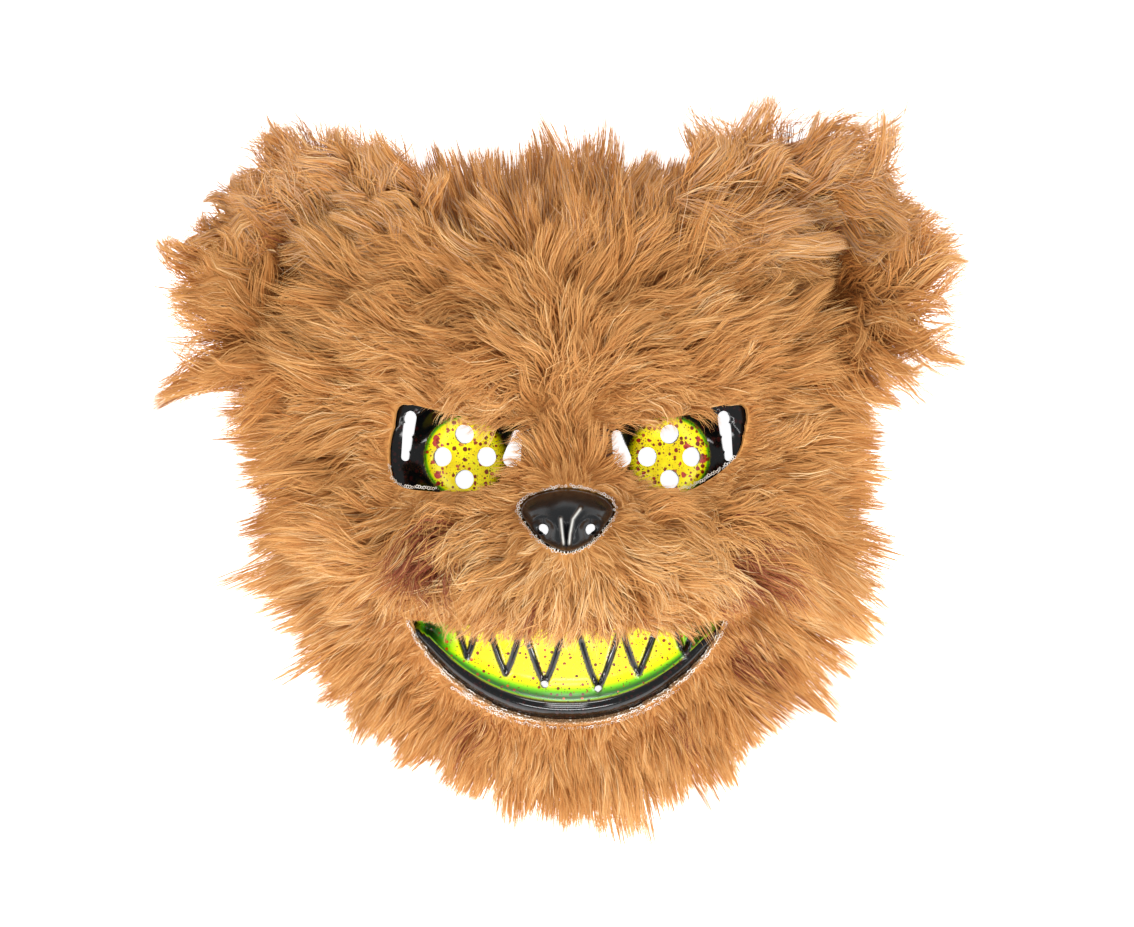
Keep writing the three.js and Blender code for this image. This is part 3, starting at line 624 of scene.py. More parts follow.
# The sheet is sprayed on its front only, so the points that its thickness added stay bare
for layer in shell.data.attributes:
    if layer.data_type == "FLOAT" and layer.domain == "POINT" and not layer.name.startswith("."):
        values = np.zeros(len(shell.data.vertices), np.float32)
        layer.data.foreach_get("value", values)
        values[outer_points:] = 0
        layer.data.foreach_set("value", values)
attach(shell, "root")
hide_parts("face_shell")
print("shell triangles", sum(len(f.vertices) - 2 for f in shell.data.polygons))

# %% [markdown]
# ## The paint on the plastic
# The shell is black PVC with a gloss finish. Fluorescent yellow is sprayed through a stencil on the eyes and
# the teeth, green is airbrushed round their edges, and red and brown are flicked on from a brush. Round cells
# of uneven size give the flicked drops, because real drops lie apart and differ in size.


# %% Gloss paint
def math_node(tree, operation, *values):
    made = tree.nodes.new("ShaderNodeMath")
    made.operation = operation
    for socket, value in zip(made.inputs, values):
        feed(tree, socket, value)
    return made.outputs[0]


def mixed(tree, factor, below, above):
    made = tree.nodes.new("ShaderNodeMix")
    made.data_type = "RGBA"
    for socket, value in ((made.inputs[0], factor), (made.inputs[6], below), (made.inputs[7], above)):
        feed(tree, socket, value)
    return made.outputs[2]


def in_millimetres(tree):
    """Places on the piece in millimetres."""
    place = node(tree, "ShaderNodeTexCoord")
    scaled = node(tree, "ShaderNodeMapping", Vector=place.outputs["Object"])
    scaled.inputs["Scale"].default_value = (1000, 1000, 1000)
    return scaled.outputs[0]


def ramp(tree, factor, stops, kind="LINEAR"):
    made = node(tree, "ShaderNodeValToRGB", Fac=factor)
    band = made.color_ramp
    band.interpolation = kind
    while len(band.elements) < len(stops):
        band.elements.new(0.5)
    for element, (place, code) in zip(band.elements, stops):
        element.position = place
        element.color = linear(code)
    return made.outputs[0]


def flicked(tree, where, cell, least, most, ragged=0.0):
    """Drops of paint: 1 inside a drop and 0 outside. cell is their spacing, and the radii differ."""
    if ragged:
        wobble = node(tree, "ShaderNodeTexNoise", Vector=where, Scale=0.9, Detail=2.0)
        push = node(tree, "ShaderNodeVectorMath", {"operation": "SCALE"}, i0=wobble.outputs["Color"])
        push.inputs["Scale"].default_value = ragged
        added = node(tree, "ShaderNodeVectorMath", {"operation": "ADD"}, i0=where, i1=push.outputs[0])
        where = added.outputs[0]
    flat = {"feature": "F1", "voronoi_dimensions": "2D"}
    cells = node(tree, "ShaderNodeTexVoronoi", flat, Vector=where, Scale=1 / cell)
    pick = node(tree, "ShaderNodeSeparateColor", i0=cells.outputs["Color"])
    share = math_node(tree, "POWER", pick.outputs[0], 1.8)
    radius = math_node(tree, "MULTIPLY_ADD", share, (most - least) / cell, least / cell)
    inside = math_node(tree, "SUBTRACT", radius, cells.outputs["Distance"])
    return math_node(tree, "MULTIPLY", inside, cell / 0.12), pick.outputs[1]


def clamped(tree, value, area=1.0):
    """A value held between 0 and 1, kept to an area where one is given."""
    held = math_node(tree, "ADD", value, 0.0)
    held.node.use_clamp = True
    within = math_node(tree, "MULTIPLY", held, area)
    within.node.use_clamp = True
    return within


def painted(tree, name):
    """The amount of a paint that was stored on the points."""
    return node(tree, "ShaderNodeAttribute", {"attribute_name": name}).outputs["Fac"]


paint, tree = new_material("glossy_pvc_with_airbrushed_paint")
where = in_millimetres(tree)
yellow = painted(tree, "yellow_paint")
green = painted(tree, "green_paint")
blotch = painted(tree, "red_blotches")
speckle = painted(tree, "fine_speckle")
cloud = node(tree, "ShaderNodeTexNoise", Vector=where, Scale=0.22, Detail=2.0).outputs["Fac"]
bright = ramp(tree, cloud, [(0.35, "#E6CE00"), (0.55, "#F0E200"), (0.75, "#E4E400")])
LEAF = [(0.0, "#F0EC00"), (0.3, "#C4E400"), (0.6, "#62B40E"), (0.85, "#2A6A0A"), (1.0, "#0E2A06")]
leaf = ramp(tree, green, LEAF)
lit_paint = mixed(tree, clamped(tree, math_node(tree, "MULTIPLY", green, 3.0)), bright, leaf)
on_eye = painted(tree, "eye_paint")
satin = painted(tree, "satin_nose")
big, pick = flicked(tree, where, 2.1, 0.1, 1.0, 0.5)
teeth_drops, tooth_pick = flicked(tree, where, 2.4, 0.1, 0.75, 0.3)
small, other = flicked(tree, where, 1.2, 0.02, 0.34)
large, _ = flicked(tree, where, 5.4, 0.5, 1.9, 1.8)
rust = ramp(tree, pick, [(0.0, "#9C1E10"), (0.5, "#642408"), (1.0, "#A83A12")])
orange = ramp(tree, tooth_pick, [(0.0, "#8A1C0C"), (0.5, "#5A2408"), (1.0, "#C4500E")])
dark = ramp(tree, other, [(0.0, "#3A1408"), (0.6, "#6A2A10"), (1.0, "#2E4A08")])
colour = mixed(tree, clamped(tree, large, blotch), lit_paint, linear("#B43A30"))
colour = mixed(tree, clamped(tree, big, on_eye), colour, rust)
not_eye = math_node(tree, "SUBTRACT", 1.0, on_eye)
colour = mixed(tree, clamped(tree, teeth_drops, not_eye), colour, orange)
colour = mixed(tree, clamped(tree, small), colour, dark)
dust, _ = flicked(tree, where, 0.8, 0.1, 0.3)
colour = mixed(tree, clamped(tree, dust, speckle), colour, linear("#3E5210"))
black = mixed(tree, clamped(tree, big, 0.15), linear("#050607"), linear("#5A1410"))
black = mixed(tree, math_node(tree, "MULTIPLY", satin, 0.9), black, linear("#111315"))
# The painted highlight: the crests of the nose's two ridges are coloured pale grey
painted_ridge_highlight = painted(tree, "painted_ridge_highlight")
black = mixed(tree, math_node(tree, "MULTIPLY", painted_ridge_highlight, 0.9), black, linear("#D9D7D0"))
colour = mixed(tree, yellow, black, colour)
sheen = node(tree, "ShaderNodeMapRange", Value=math_node(tree, "MULTIPLY_ADD", satin, 0.6, yellow))
sheen.inputs["To Min"].default_value, sheen.inputs["To Max"].default_value = 0.12, 0.28
gloss = node(tree, "ShaderNodeBsdfPrincipled", Base_Color=colour, Roughness=sheen.outputs[0])
gloss.inputs["Specular IOR Level"].default_value = 0.25
node(tree, "ShaderNodeOutputMaterial", Surface=gloss.outputs[0])
shell.data.materials.append(paint)
print("paint nodes", len(tree.nodes))

# %% [markdown]
# ## The knitted backing
# Fake fur is a knitted cloth with the pile locked into its loops. Here the cloth is cut with a window for each
# eye, the nose and the mouth, stretched over the shell and glued. A second blank, drawn 2 mm further out, is
# cut in the same way. Most of it is hidden by the pile, so it has the dark brown that shows in the gaps.


# %% Cloth over the shell
def near_windows(p):
    return np.abs(window_distance(p[:, 0], p[:, 1])) < 4


def lifted(angle, way, lift):
    p = skin_point(angle, way) + skin_normal(angle, way) * lift
    p[:, 2] = np.maximum(p[:, 2], HEM_LIFT)
    return p


def cut_edge(p):
    return window_distance(p[:, 0], p[:, 1]) - 0.5


backing, angle, way = drawn_blank("knitted_backing", 100, [(1, near_windows)])
flat_places = lifted(angle, way, BACKING_LIFT)
move_to(backing.data, flat_places)
select_where(backing.data, cut_edge(flat_places) < 0, "points")
edit(lambda: bpy.ops.mesh.delete(type="VERT"), mode="VERT")
snap_to_edge(backing, cut_edge, reach=2.0)
cloth_places = coordinates(backing.data)
cloth_area = sum(f.area for f in backing.data.polygons)
layer = backing.data.attributes.new("bare_knit", "FLOAT", "POINT")
to_window = window_distance(cloth_places[:, 0], cloth_places[:, 1])
bare = smooth((1.3 - to_window) / 0.5) * (cloth_places[:, 1] < -56)
layer.data.foreach_set("value", bare.astype(np.float32))
finish_sheet(backing, 1.4, -1)
print("cloth area, square metres", round(cloth_area * MM * MM, 4))

knit, tree = new_material("knitted_polyester_backing")
where = in_millimetres(tree)
loops = node(tree, "ShaderNodeTexVoronoi", {"feature": "DISTANCE_TO_EDGE"}, Vector=where, Scale=1.1)
pale = ramp(tree, loops.outputs["Distance"], [(0.0, "#6A4A30"), (0.2, "#A07C58"), (0.4, "#CDB496")])
bare_mask = painted(tree, "bare_knit")
patch = node(tree, "ShaderNodeTexNoise", Vector=where, Scale=0.15, Detail=3.0).outputs["Fac"]
brown = ramp(tree, patch, [(0.3, "#B98046"), (0.7, "#CF9656")])
colour = mixed(tree, bare_mask, brown, pale)
cloth = node(tree, "ShaderNodeBsdfPrincipled", Base_Color=colour, Roughness=0.9)
cloth.inputs["Specular IOR Level"].default_value = 0.2
node(tree, "ShaderNodeOutputMaterial", Surface=cloth.outputs[0])
backing.data.materials.append(knit)
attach(backing, "root")
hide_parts("fur_cover")

# %% [markdown]
# ## The knitted loops along the cut edge
# Where the cloth was cut, its pale loops show as a small serrated line: under the lip, round the nose and
# at the outer corners of the eyes. One loop is modelled and copied along each edge.

# %% One loop, copied along the edges
bpy.ops.object.select_all(action="DESELECT")
bpy.ops.mesh.primitive_torus_add(major_radius=0.7, minor_radius=0.18, major_segments=9, minor_segments=4)
loop = bpy.context.object
loop_mesh = loop.data
loop_points = coordinates(loop_mesh) * [1.0, 1.35, 1.0]
loop_faces = np.array([list(f.vertices) for f in loop_mesh.polygons])
bpy.data.objects.remove(loop)


def on_form(x, y):
    """Angle and way of the place on the form above x and y."""
    angle = np.arctan2(y, x)
    share = np.clip(np.hypot(x, y) / rim_radius(angle), 0, 1)
    return angle, np.arcsin(share ** (DOME_FULLNESS / 2)) / (math.pi / 2)


def along(loop_line, pitch):
    """Evenly spaced places and directions on a line."""
    steps = np.linalg.norm(np.diff(loop_line, axis=0), axis=1)
    reach = np.concatenate([[0], np.cumsum(steps)])
    at = np.arange(0, reach[-1], pitch)
    places = np.stack([np.interp(at, reach, loop_line[:, k]) for k in range(2)], 1)
    ahead = np.stack([np.interp(at + 0.3, reach, loop_line[:, k]) for k in range(2)], 1)
    behind = np.stack([np.interp(at - 0.3, reach, loop_line[:, k]) for k in range(2)], 1)
    heading = ahead - behind
    return places, heading / np.linalg.norm(heading, axis=1, keepdims=True)


rng = np.random.default_rng(11)
lower_lip = np.stack([grin * MOUTH_WIDTH / 2, mouth_bottom(grin)], 1)
lower_nose = nose_loop[nose_loop[:, 1] < NOSE_Y + 3]
eye_corner = eye_right[(eye_right[:, 1] < EYE_Y + 1) & (eye_right[:, 0] > EYE_X + 2)]
left_corner = eye_left[(eye_left[:, 1] < EYE_Y - 2) & (eye_left[:, 0] < -EYE_X - 10)]
upper_nose = np.roll(nose_loop, -18, 0)
upper_nose = upper_nose[upper_nose[:, 1] > NOSE_Y + 2]
EDGE_ROWS = [
    # line, distance out from the edge, height over the form, side that is out: -1 below, 0 away from the
    # window, size of the loops
    (lower_lip, -0.2, 0.9, -1, 0.9), (lower_lip, -0.1, 1.9, -1, 0.9), (lower_lip[6:35], 0.8, 2.6, -1, 0.9),
    (lower_nose, 0.1, 2.0, 0, 0.72), (upper_nose, -0.9, 2.4, 0, 0.72), (eye_corner, 0.0, 1.8, 0, 0.6),
    (left_corner, 0.0, 1.8, 0, 0.6),
]
knit_points, knit_faces = [], []
for line, out, lift, side, scale in EDGE_ROWS:
    places, heading = along(line, 1.5 * scale)
    outward = np.stack([heading[:, 1], -heading[:, 0]], 1)
    sign = np.sign(window_distance(*(places + outward * 0.8).T))[:, None] if side == 0 else 1
    places = places + outward * sign * (out + 0.25 * rng.standard_normal((len(places), 1)))
    angle, way = on_form(places[:, 0], places[:, 1])
    normal = skin_normal(angle, way)
    base = skin_point(angle, way) + normal * lift
    head3 = np.concatenate([heading, np.zeros((len(heading), 1))], 1)
    side3 = np.cross(normal, head3)
    side3 /= np.linalg.norm(side3, axis=1, keepdims=True)
    head3 = np.cross(side3, normal)
    size = scale * rng.uniform(0.75, 1.2, len(places))
    turned = (
        loop_points[None, :, 0, None] * head3[:, None]
        + loop_points[None, :, 1, None] * side3[:, None]
        + loop_points[None, :, 2, None] * normal[:, None]
    )
    points = base[:, None] + turned * size[:, None, None]
    start = sum(len(k) for k in knit_points)
    first = start + np.arange(len(places)) * len(loop_points)
    knit_faces.append((loop_faces[None] + first[:, None, None]).reshape(-1, 4))
    knit_points.append(points.reshape(-1, 3))


def mesh_piece(name, points, faces, smooth_shaded=True):
    """An object from arrays of points in millimetres and faces that all have the same number of corners."""
    mesh = bpy.data.meshes.new(name)
    mesh.vertices.add(len(points))
    mesh.vertices.foreach_set("co", (points * MM + MIDDLE).ravel())
    corners = faces.shape[1]
    mesh.loops.add(faces.size)
    mesh.loops.foreach_set("vertex_index", faces.ravel())
    mesh.polygons.add(len(faces))
    mesh.polygons.foreach_set("loop_start", np.arange(0, faces.size, corners))
    mesh.update(calc_edges=True)
    mesh.polygons.foreach_set("use_smooth", np.full(len(faces), smooth_shaded))
    made = bpy.data.objects.new(name, mesh)
    bpy.context.scene.collection.objects.link(made)
    return made


edge_loops = mesh_piece("knit_edge_loops", np.concatenate(knit_points), np.concatenate(knit_faces))
yarn, tree = new_material("pale_polyester_yarn")
tint = node(tree, "ShaderNodeTexNoise", Vector=in_millimetres(tree), Scale=0.35, Detail=1.0).outputs["Fac"]
colour = ramp(tree, tint, [(0.3, "#D8C2A8"), (0.45, "#F0E8DC"), (0.7, "#FBF8F3")])
thread = node(tree, "ShaderNodeBsdfPrincipled", Base_Color=colour, Roughness=0.7)
node(tree, "ShaderNodeOutputMaterial", Surface=thread.outputs[0])
edge_loops.data.materials.append(yarn)
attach(edge_loops, "root")
print("edge loops", len(knit_faces), "rows", len(edge_loops.data.polygons) * 2, "triangles")

# %% [markdown]
# ## The ears
# Each ear is a round pad, stuffed and cupped to a shallow hollow, and sewn on over a wide base. A ball is
# reshaped to the pad's section and then trimmed where it meets the cloth.

# %% Ear pads
EAR_RADIUS, EAR_ROOT, EAR_FLARE, EAR_CUP, EAR_LIFT, EAR_TILT = 41, 13, 0.34, 0.4, 41, 12
EARS = {"left": (139.0, 1.22), "right": (44.8, 1.205)}
EAR_SECTION = np.array([
    # from the hollow over the edge to the back: way out, and height, as shares of the ear's radius
    (0, 0.06), (0.3, 0.08), (0.6, 0.14), (0.85, 0.2), (1, 0.06), (0.94, -0.14), (0.64, -0.24), (0.32, -0.28),
    (0, -0.3),
])


def ear_frame(side):
    degrees, reach = EARS[side]
    a = math.radians(degrees)
    out = np.array([math.cos(a), math.sin(a), 0])
    hinge = np.array([-math.sin(a), math.cos(a), 0])
    tilt = math.radians(EAR_TILT)
    up = np.array([0, 0, 1.0])
    away = out * math.cos(tilt) + np.cross(hinge, out) * math.sin(tilt)
    lift = up * math.cos(tilt) + np.cross(hinge, up) * math.sin(tilt)
    return out * reach * FACE_HEIGHT / 2 + up * EAR_LIFT, away, hinge, lift


def ear_point(side, around, share):
    """around is the angle about the ear from its outward side, and share runs from the hollow to the back."""
    middle, away, hinge, lift = ear_frame(side)
    steps = np.linspace(0, 1, len(EAR_SECTION))
    out = np.interp(share, steps, EAR_SECTION[:, 0])
    rise = np.interp(share, steps, EAR_SECTION[:, 1]) - EAR_CUP * (1 - out**2) * (share < 0.5)
    facing = -np.cos(around)
    flare = EAR_FLARE * (1 + facing) / 2
    heading = np.cos(around)[:, None] * away + np.sin(around)[:, None] * hinge
    reach = out * EAR_RADIUS * (1 + flare)
    inward = (EAR_ROOT * np.maximum(0, facing) - EAR_RADIUS * flare * facing) * out
    return middle + heading * reach[:, None] - away * inward[:, None] + lift * (rise * EAR_RADIUS)[:, None]


def faces_outward():
    """Turns every face of the active mesh outward."""
    edit(
        lambda: bpy.ops.mesh.select_all(action="SELECT"),
        lambda: bpy.ops.mesh.normals_make_consistent(inside=False),
    )


def filled_form(lift):
    """The face form as a closed block, to trim the ears against."""
    block, angle, way = drawn_blank("trimming_block", 44, [])
    p = skin_point(angle, way) + skin_normal(angle, way) * lift
    move_to(block.data, p * MM + MIDDLE)
    edit(
        lambda: bpy.ops.mesh.select_all(action="SELECT"),
        lambda: bpy.ops.mesh.extrude_region_move(TRANSFORM_OT_translate={"value": (0, 0, -0.15)}),
    )
    faces_outward()
    return block


EAR_SEGMENTS, EAR_RINGS = 56, 28


def closed_pad(side):
    """Rings of points from the middle of the ear's hollow to the middle of its back, numbered in a fixed order."""
    around = np.tile(np.arange(EAR_SEGMENTS) * 2 * math.pi / EAR_SEGMENTS, EAR_RINGS - 1)
    share = np.repeat(np.arange(1, EAR_RINGS) / EAR_RINGS, EAR_SEGMENTS)
    places = ear_point(side, np.append(around, (0, 0)), np.append(share, (0, 1))) * MM + MIDDLE
    first, last = len(around), len(around) + 1
    here = np.arange(EAR_SEGMENTS)
    after = np.roll(here, -1)
    back_ring = first - EAR_SEGMENTS
    faces = [(first, a, b) for a, b in zip(here, after)]
    faces += [(last, back_ring + b, back_ring + a) for a, b in zip(here, after)]
    for inner in range(0, back_ring, EAR_SEGMENTS):
        outer = inner + EAR_SEGMENTS
        faces += [(inner + a, outer + a, outer + b, inner + b) for a, b in zip(here, after)]
    mesh = bpy.data.meshes.new(f"ear_pad_{side}")
    mesh.from_pydata(places.tolist(), [], [[int(i) for i in face] for face in faces])
    mesh.update()
    return mesh


whole_pads = {}
seat = filled_form(BACKING_LIFT + 0.8)
for side in EARS:
    bpy.ops.object.select_all(action="DESELECT")
    pad = bpy.data.objects.new(f"ear_pad_{side}", closed_pad(side))
    bpy.context.scene.collection.objects.link(pad)
    bpy.context.view_layer.objects.active = pad
    pad.select_set(True)
    # The pile is planted on the whole pad, so that its places don't depend on the trimming
    whole_pads[side] = pad.data.copy()
    trim = pad.modifiers.new("trim", "BOOLEAN")
    trim.operation, trim.object, trim.solver = "DIFFERENCE", seat, "EXACT"
    bpy.ops.object.modifier_apply(modifier="trim")
    faces_outward()
    bpy.ops.object.shade_smooth_by_angle(angle=math.radians(40))
    pad.data.materials.append(knit)
    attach(pad, "root")
    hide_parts(f"ear_{side}")
    print(pad.name, "triangles", sum(len(f.vertices) - 2 for f in pad.data.polygons))
bpy.data.objects.remove(seat)

# %% [markdown]
# ## How the pile lies
# Long pile is brushed: it stands up at its root and then lies over in one direction, and neighbouring
# fibres cling together as wisps, and wisps as locks. The table gives the direction that the fur has in the
# photograph at some places, and each fibre takes a mix of the nearest ones.

# %% Directions of the nap
NAP = [
    # x mm, y mm, degrees from +X
    (0, 91, 90), (-26, 103, 100), (28, 103, 80), (-41, 110, 112), (47, 110, 68), (-3, 72, 92), (-18, 68, 143),
    (-37, 76, 142), (-53, 88, 138), (59, 83, 45), (28, 68, 17), (47, 72, 22), (-34, 60, 165), (12, 60, 22),
    (24, 52, 8), (-10, 50, 160), (-45, 45, 173), (43, 45, 7), (-61, 60, 172), (66, 56, 8), (-80, 55, 165),
    (84, 52, 15), (-18, 40, 165), (18, 40, 12), (0, 40, 95), (0, 22, 90), (-13, 20, 145), (13, 20, 35),
    (-57, -13, 208), (-91, -5, 195), (59, -13, -25), (92, 0, -12), (-20, -8, 205), (20, -8, -25),
    (-90, -40, 215), (90, -40, -32), (-64, -82, 238), (-40, -100, 250), (0, -105, 270), (51, -94, -60),
    (-18, -32, 228), (0, -38, 270), (28, -32, -44), (-40, -42, 240), (40, -42, -58), (75, -70, -48),
]


def nap_heading(x, y, rows):
    """Direction in which the pile lies, as a mix of the table's nearest rows."""
    table = np.array(rows, float)
    ways_of = np.radians(table[:, 2])
    apart = (x[:, None] - table[:, 0]) ** 2 + (y[:, None] - table[:, 1]) ** 2
    weight = 1 / (apart + 40) ** 2
    return np.arctan2(weight @ np.sin(ways_of), weight @ np.cos(ways_of))


def sample_surface(mesh, count, density, generator):
    """Random places on a mesh's faces, with their normals, in millimetres about the rim's middle."""
    mesh.calc_loop_triangles()
    triangles = np.empty(len(mesh.loop_triangles) * 3, np.int32)
    mesh.loop_triangles.foreach_get("vertices", triangles)
    corners = ((coordinates(mesh) - MIDDLE) / MM)[triangles.reshape(-1, 3)]
    cross = np.cross(corners[:, 1] - corners[:, 0], corners[:, 2] - corners[:, 0])
    area = np.linalg.norm(cross, axis=1) / 2
    normal = cross / np.maximum(2 * area, 1e-9)[:, None]
    weight = area * density(corners.mean(1), normal)
    chosen = generator.choice(len(area), count, p=weight / weight.sum())
    u, v = generator.random((2, count))
    flip = u + v > 1
    u, v = np.where(flip, 1 - u, u)[:, None], np.where(flip, 1 - v, v)[:, None]
    a, b, c = corners[chosen, 0], corners[chosen, 1], corners[chosen, 2]
    return a + (b - a) * u + (c - a) * v, normal[chosen]


# %% [markdown]
# ## The fibres
# Each fibre is a narrow ribbon of four lengths that ends in a point. All the fibres of one area are joined
# into one mesh. The map named OFBake holds each fibre's shade across and its distance from the root upward,
# so the colour of every fibre comes from one small table of shades.

# %% [markdown]
# A fibre's bend is made in five steps from its root. Half of what turns it is shared with its wisp and its
# lock, because crimped acrylic clings together, and a third of the fibres stay loose, which gives the haze
# of single fibres over the locks.

# %% Growing fibres
STEPS = np.array([0, 0.3, 0.58, 0.82, 1.0])
TAPER = np.array([1.0, 0.95, 0.8, 0.5])


def nearest_of(points, chosen):
    """For each point, which of the chosen points is nearest."""
    tree_of_points = KDTree(len(chosen))
    for k, index in enumerate(chosen):
        tree_of_points.insert(points[index], k)
    tree_of_points.balance()
    return chosen[np.array([tree_of_points.find(p)[1] for p in points])]


def turned_about(vectors, axis, angle):
    c, s = np.cos(angle)[:, None], np.sin(angle)[:, None]
    return vectors * c + np.cross(axis, vectors) * s + axis * (vectors * axis).sum(1, keepdims=True) * (1 - c)


def grow(roots, normals, flow, lengths, generator, area, lock=9.0, wisp=2.1, stand=58.0, lie=8.0,
         unruly=1.0, gather=0.5, wave=0.07):
    """Paths of the fibres, as an array of fibre, step and coordinate, with each one's lock and wisp.

    Locks and wisps are so many millimetres apart. stand and lie are the fibres' angles to the cloth at root
    and tip, unruly spreads their directions, gather draws the wisps into locks and wave bends them.
    """
    count = len(roots)
    locks = nearest_of(roots, generator.choice(count, max(8, int(area / lock**2)), replace=False))
    wisps = nearest_of(roots, generator.choice(count, max(8, int(area / wisp**2)), replace=False))
    own, by_wisp, by_lock = (generator.standard_normal((4, count)) for _ in range(3))
    by_wisp, by_lock = by_wisp[:, wisps], by_lock[:, locks]
    heading = flow - normals * np.clip((flow * normals).sum(1, keepdims=True), None, 0)
    heading /= np.maximum(np.linalg.norm(heading, axis=1, keepdims=True), 1e-6)
    stray = np.asarray(unruly) * (19 * by_lock[0] + 14 * by_wisp[0] + 9 * own[0])
    heading = turned_about(heading, normals, np.radians(stray))
    loose = generator.random(count) < 0.36
    reach = lengths * (1 + 0.17 * by_lock[1] + 0.1 * by_wisp[1] + 0.07 * own[1]) * np.where(loose, 0.78, 1.0)
    curl = np.radians(20 * by_lock[2] + 18 * by_wisp[2] + 10 * own[2])
    lean = 7 * by_lock[3] + 6 * by_wisp[3] + 4 * own[3]
    path = np.empty((count, len(STEPS), 3))
    path[:, 0] = roots
    for k in range(1, len(STEPS)):
        middle = (STEPS[k] + STEPS[k - 1]) / 2
        rise = stand + (lie - stand) * smooth(np.array(middle * 1.25)) + lean
        rise = np.radians(np.clip(rise, 4, 88))[:, None]
        across = turned_about(heading, normals, curl * (middle - 0.3) * 2)
        direction = normals * np.sin(rise) + across * np.cos(rise)
        path[:, k] = path[:, k - 1] + direction * (reach * (STEPS[k] - STEPS[k - 1]))[:, None]
    phase = generator.uniform(0, 6.3, count)
    phase = phase[locks] + 0.25 * phase[wisps]
    sway = wave * reach[:, None] * (np.sin(STEPS * 5.5 + phase[:, None]) - np.sin(phase)[:, None])
    path = path + np.cross(normals, heading)[:, None] * sway[:, :, None]
    for centre, hold in ((wisps, 0.84), (locks, gather)):
        hold = np.reshape(hold, (-1, 1, 1))
        strength = hold * smooth(STEPS * 1.1)[None, :, None] * generator.uniform(0.6, 1.1, (count, 1, 1))
        strength = strength * np.where(loose, 0.15, 1.0)[:, None, None]
        path = path + (path[centre] - path) * np.clip(strength, 0, 0.97)
    return path, locks, wisps


def ribbons(name, path, normals, width, tone, generator, root_shade=0.25):
    """Turns fibre paths into one joined mesh of ribbons."""
    count = len(path)
    tangent = np.gradient(path, axis=1)
    tangent /= np.maximum(np.linalg.norm(tangent, axis=2, keepdims=True), 1e-6)
    roll = generator.normal(0, 0.4, count)[:, None, None]
    side = np.cross(tangent, (normals + [0, 0, 0.8])[:, None])
    side /= np.maximum(np.linalg.norm(side, axis=2, keepdims=True), 1e-6)
    side = side * np.cos(roll) + np.cross(tangent, side) * np.sin(roll)
    half = width[:, None, None] / 2 * TAPER[None, :, None]
    points = np.empty((count, 9, 3))
    points[:, 0:8:2] = path[:, :4] - side[:, :4] * half
    points[:, 1:8:2] = path[:, :4] + side[:, :4] * half
    points[:, 8] = path[:, 4]
    points[:, :, 2] = np.maximum(points[:, :, 2], 0.8)
    base = np.arange(count)[:, None] * 9
    corners = np.array([0, 1, 3, 2, 2, 3, 5, 4, 4, 5, 7, 6, 6, 7, 8])
    mesh = bpy.data.meshes.new(name)
    mesh.vertices.add(count * 9)
    mesh.vertices.foreach_set("co", (points.reshape(-1, 3) * MM + MIDDLE).ravel())
    mesh.loops.add(count * 15)
    mesh.loops.foreach_set("vertex_index", (base + corners).ravel())
    mesh.polygons.add(count * 4)
    starts = (np.arange(count)[:, None] * 15 + np.array([0, 4, 8, 12])).ravel()
    mesh.polygons.foreach_set("loop_start", starts)
    mesh.update(calc_edges=True)
    mesh.polygons.foreach_set("use_smooth", np.ones(count * 4, bool))
    u = np.clip(tone, 0.004, 0.996)[:, None] + np.array([-0.002, 0.002] * 4 + [0.0])
    v = np.broadcast_to(root_shade + np.repeat(STEPS, 2)[:9] * (0.98 - root_shade), u.shape)
    shades = np.stack([u, v], 2)[:, corners]
    layer = mesh.uv_layers.new(name="OFBake")
    layer.data.foreach_set("uv", shades.ravel())
    made = bpy.data.objects.new(name, mesh)
    bpy.context.scene.collection.objects.link(made)
    print(name, "fibres", count, "triangles", count * 7)
    return made


# %% [markdown]
# ## The colour of the fur
# Camel-brown acrylic. The shades differ from fibre to fibre, and each fibre is painted darker toward its root
# as the shade deep in the pile. Two more ranges in the table are the reddish dry stain round the mouth and
# the greyer fur at the top of the head.

# %% Fur material
pile, tree = new_material("long_pile_acrylic_fur")
shade_map = node(tree, "ShaderNodeUVMap", {"uv_map": "OFBake"})
parts = node(tree, "ShaderNodeSeparateXYZ", i0=shade_map.outputs[0])
FIBRE_SHADES = [
    # place in the map, colour: brown fibres to 0.58, stained ones to 0.78, greyed ones from 0.80
    (0.0, "#7A4A20"), (0.1, "#B77A40"), (0.25, "#CE965A"), (0.42, "#E0AC6C"), (0.58, "#F8DCAA"),
    (0.60, "#6A3028"), (0.70, "#94523C"), (0.78, "#BC8058"),
    (0.80, "#B4906F"), (0.90, "#D2AA84"), (1.0, "#E8C69C"),
]
PAINTED_ROOT_SHADE = [
    # way from root to tip, and the painted shade that darkens the fibre toward its root; white leaves it as it is
    (0.0, "#A88870"), (0.25, "#DEC8B4"), (0.5, "#F2E6DA"), (0.8, "#FBF8F4"), (1.0, "#FFFFFF"),
]
tone_colour = ramp(tree, parts.outputs[0], FIBRE_SHADES)
painted_root_shade_colour = ramp(tree, parts.outputs[1], PAINTED_ROOT_SHADE)
product = node(tree, "ShaderNodeMix", {"data_type": "RGBA", "blend_type": "MULTIPLY"}, i0=1.0)
tree.links.new(tone_colour, product.inputs[6])
tree.links.new(painted_root_shade_colour, product.inputs[7])
fibre = node(tree, "ShaderNodeBsdfPrincipled", Base_Color=product.outputs[2], Roughness=0.6)
fibre.inputs["Specular IOR Level"].default_value = 0.1
node(tree, "ShaderNodeOutputMaterial", Surface=fibre.outputs[0])
print("shades", len(FIBRE_SHADES), "depth tints", len(PAINTED_ROOT_SHADE))

# %% [markdown]
# The red that was flicked at the teeth also wet the pile round the mouth, and dried dull. So a few patches
# hold stained fibres, and the crown holds greyer ones. Fibres stand closest at the windows' edges, where the
# cloth is turned under, and the cut edge under the lip stays bare.

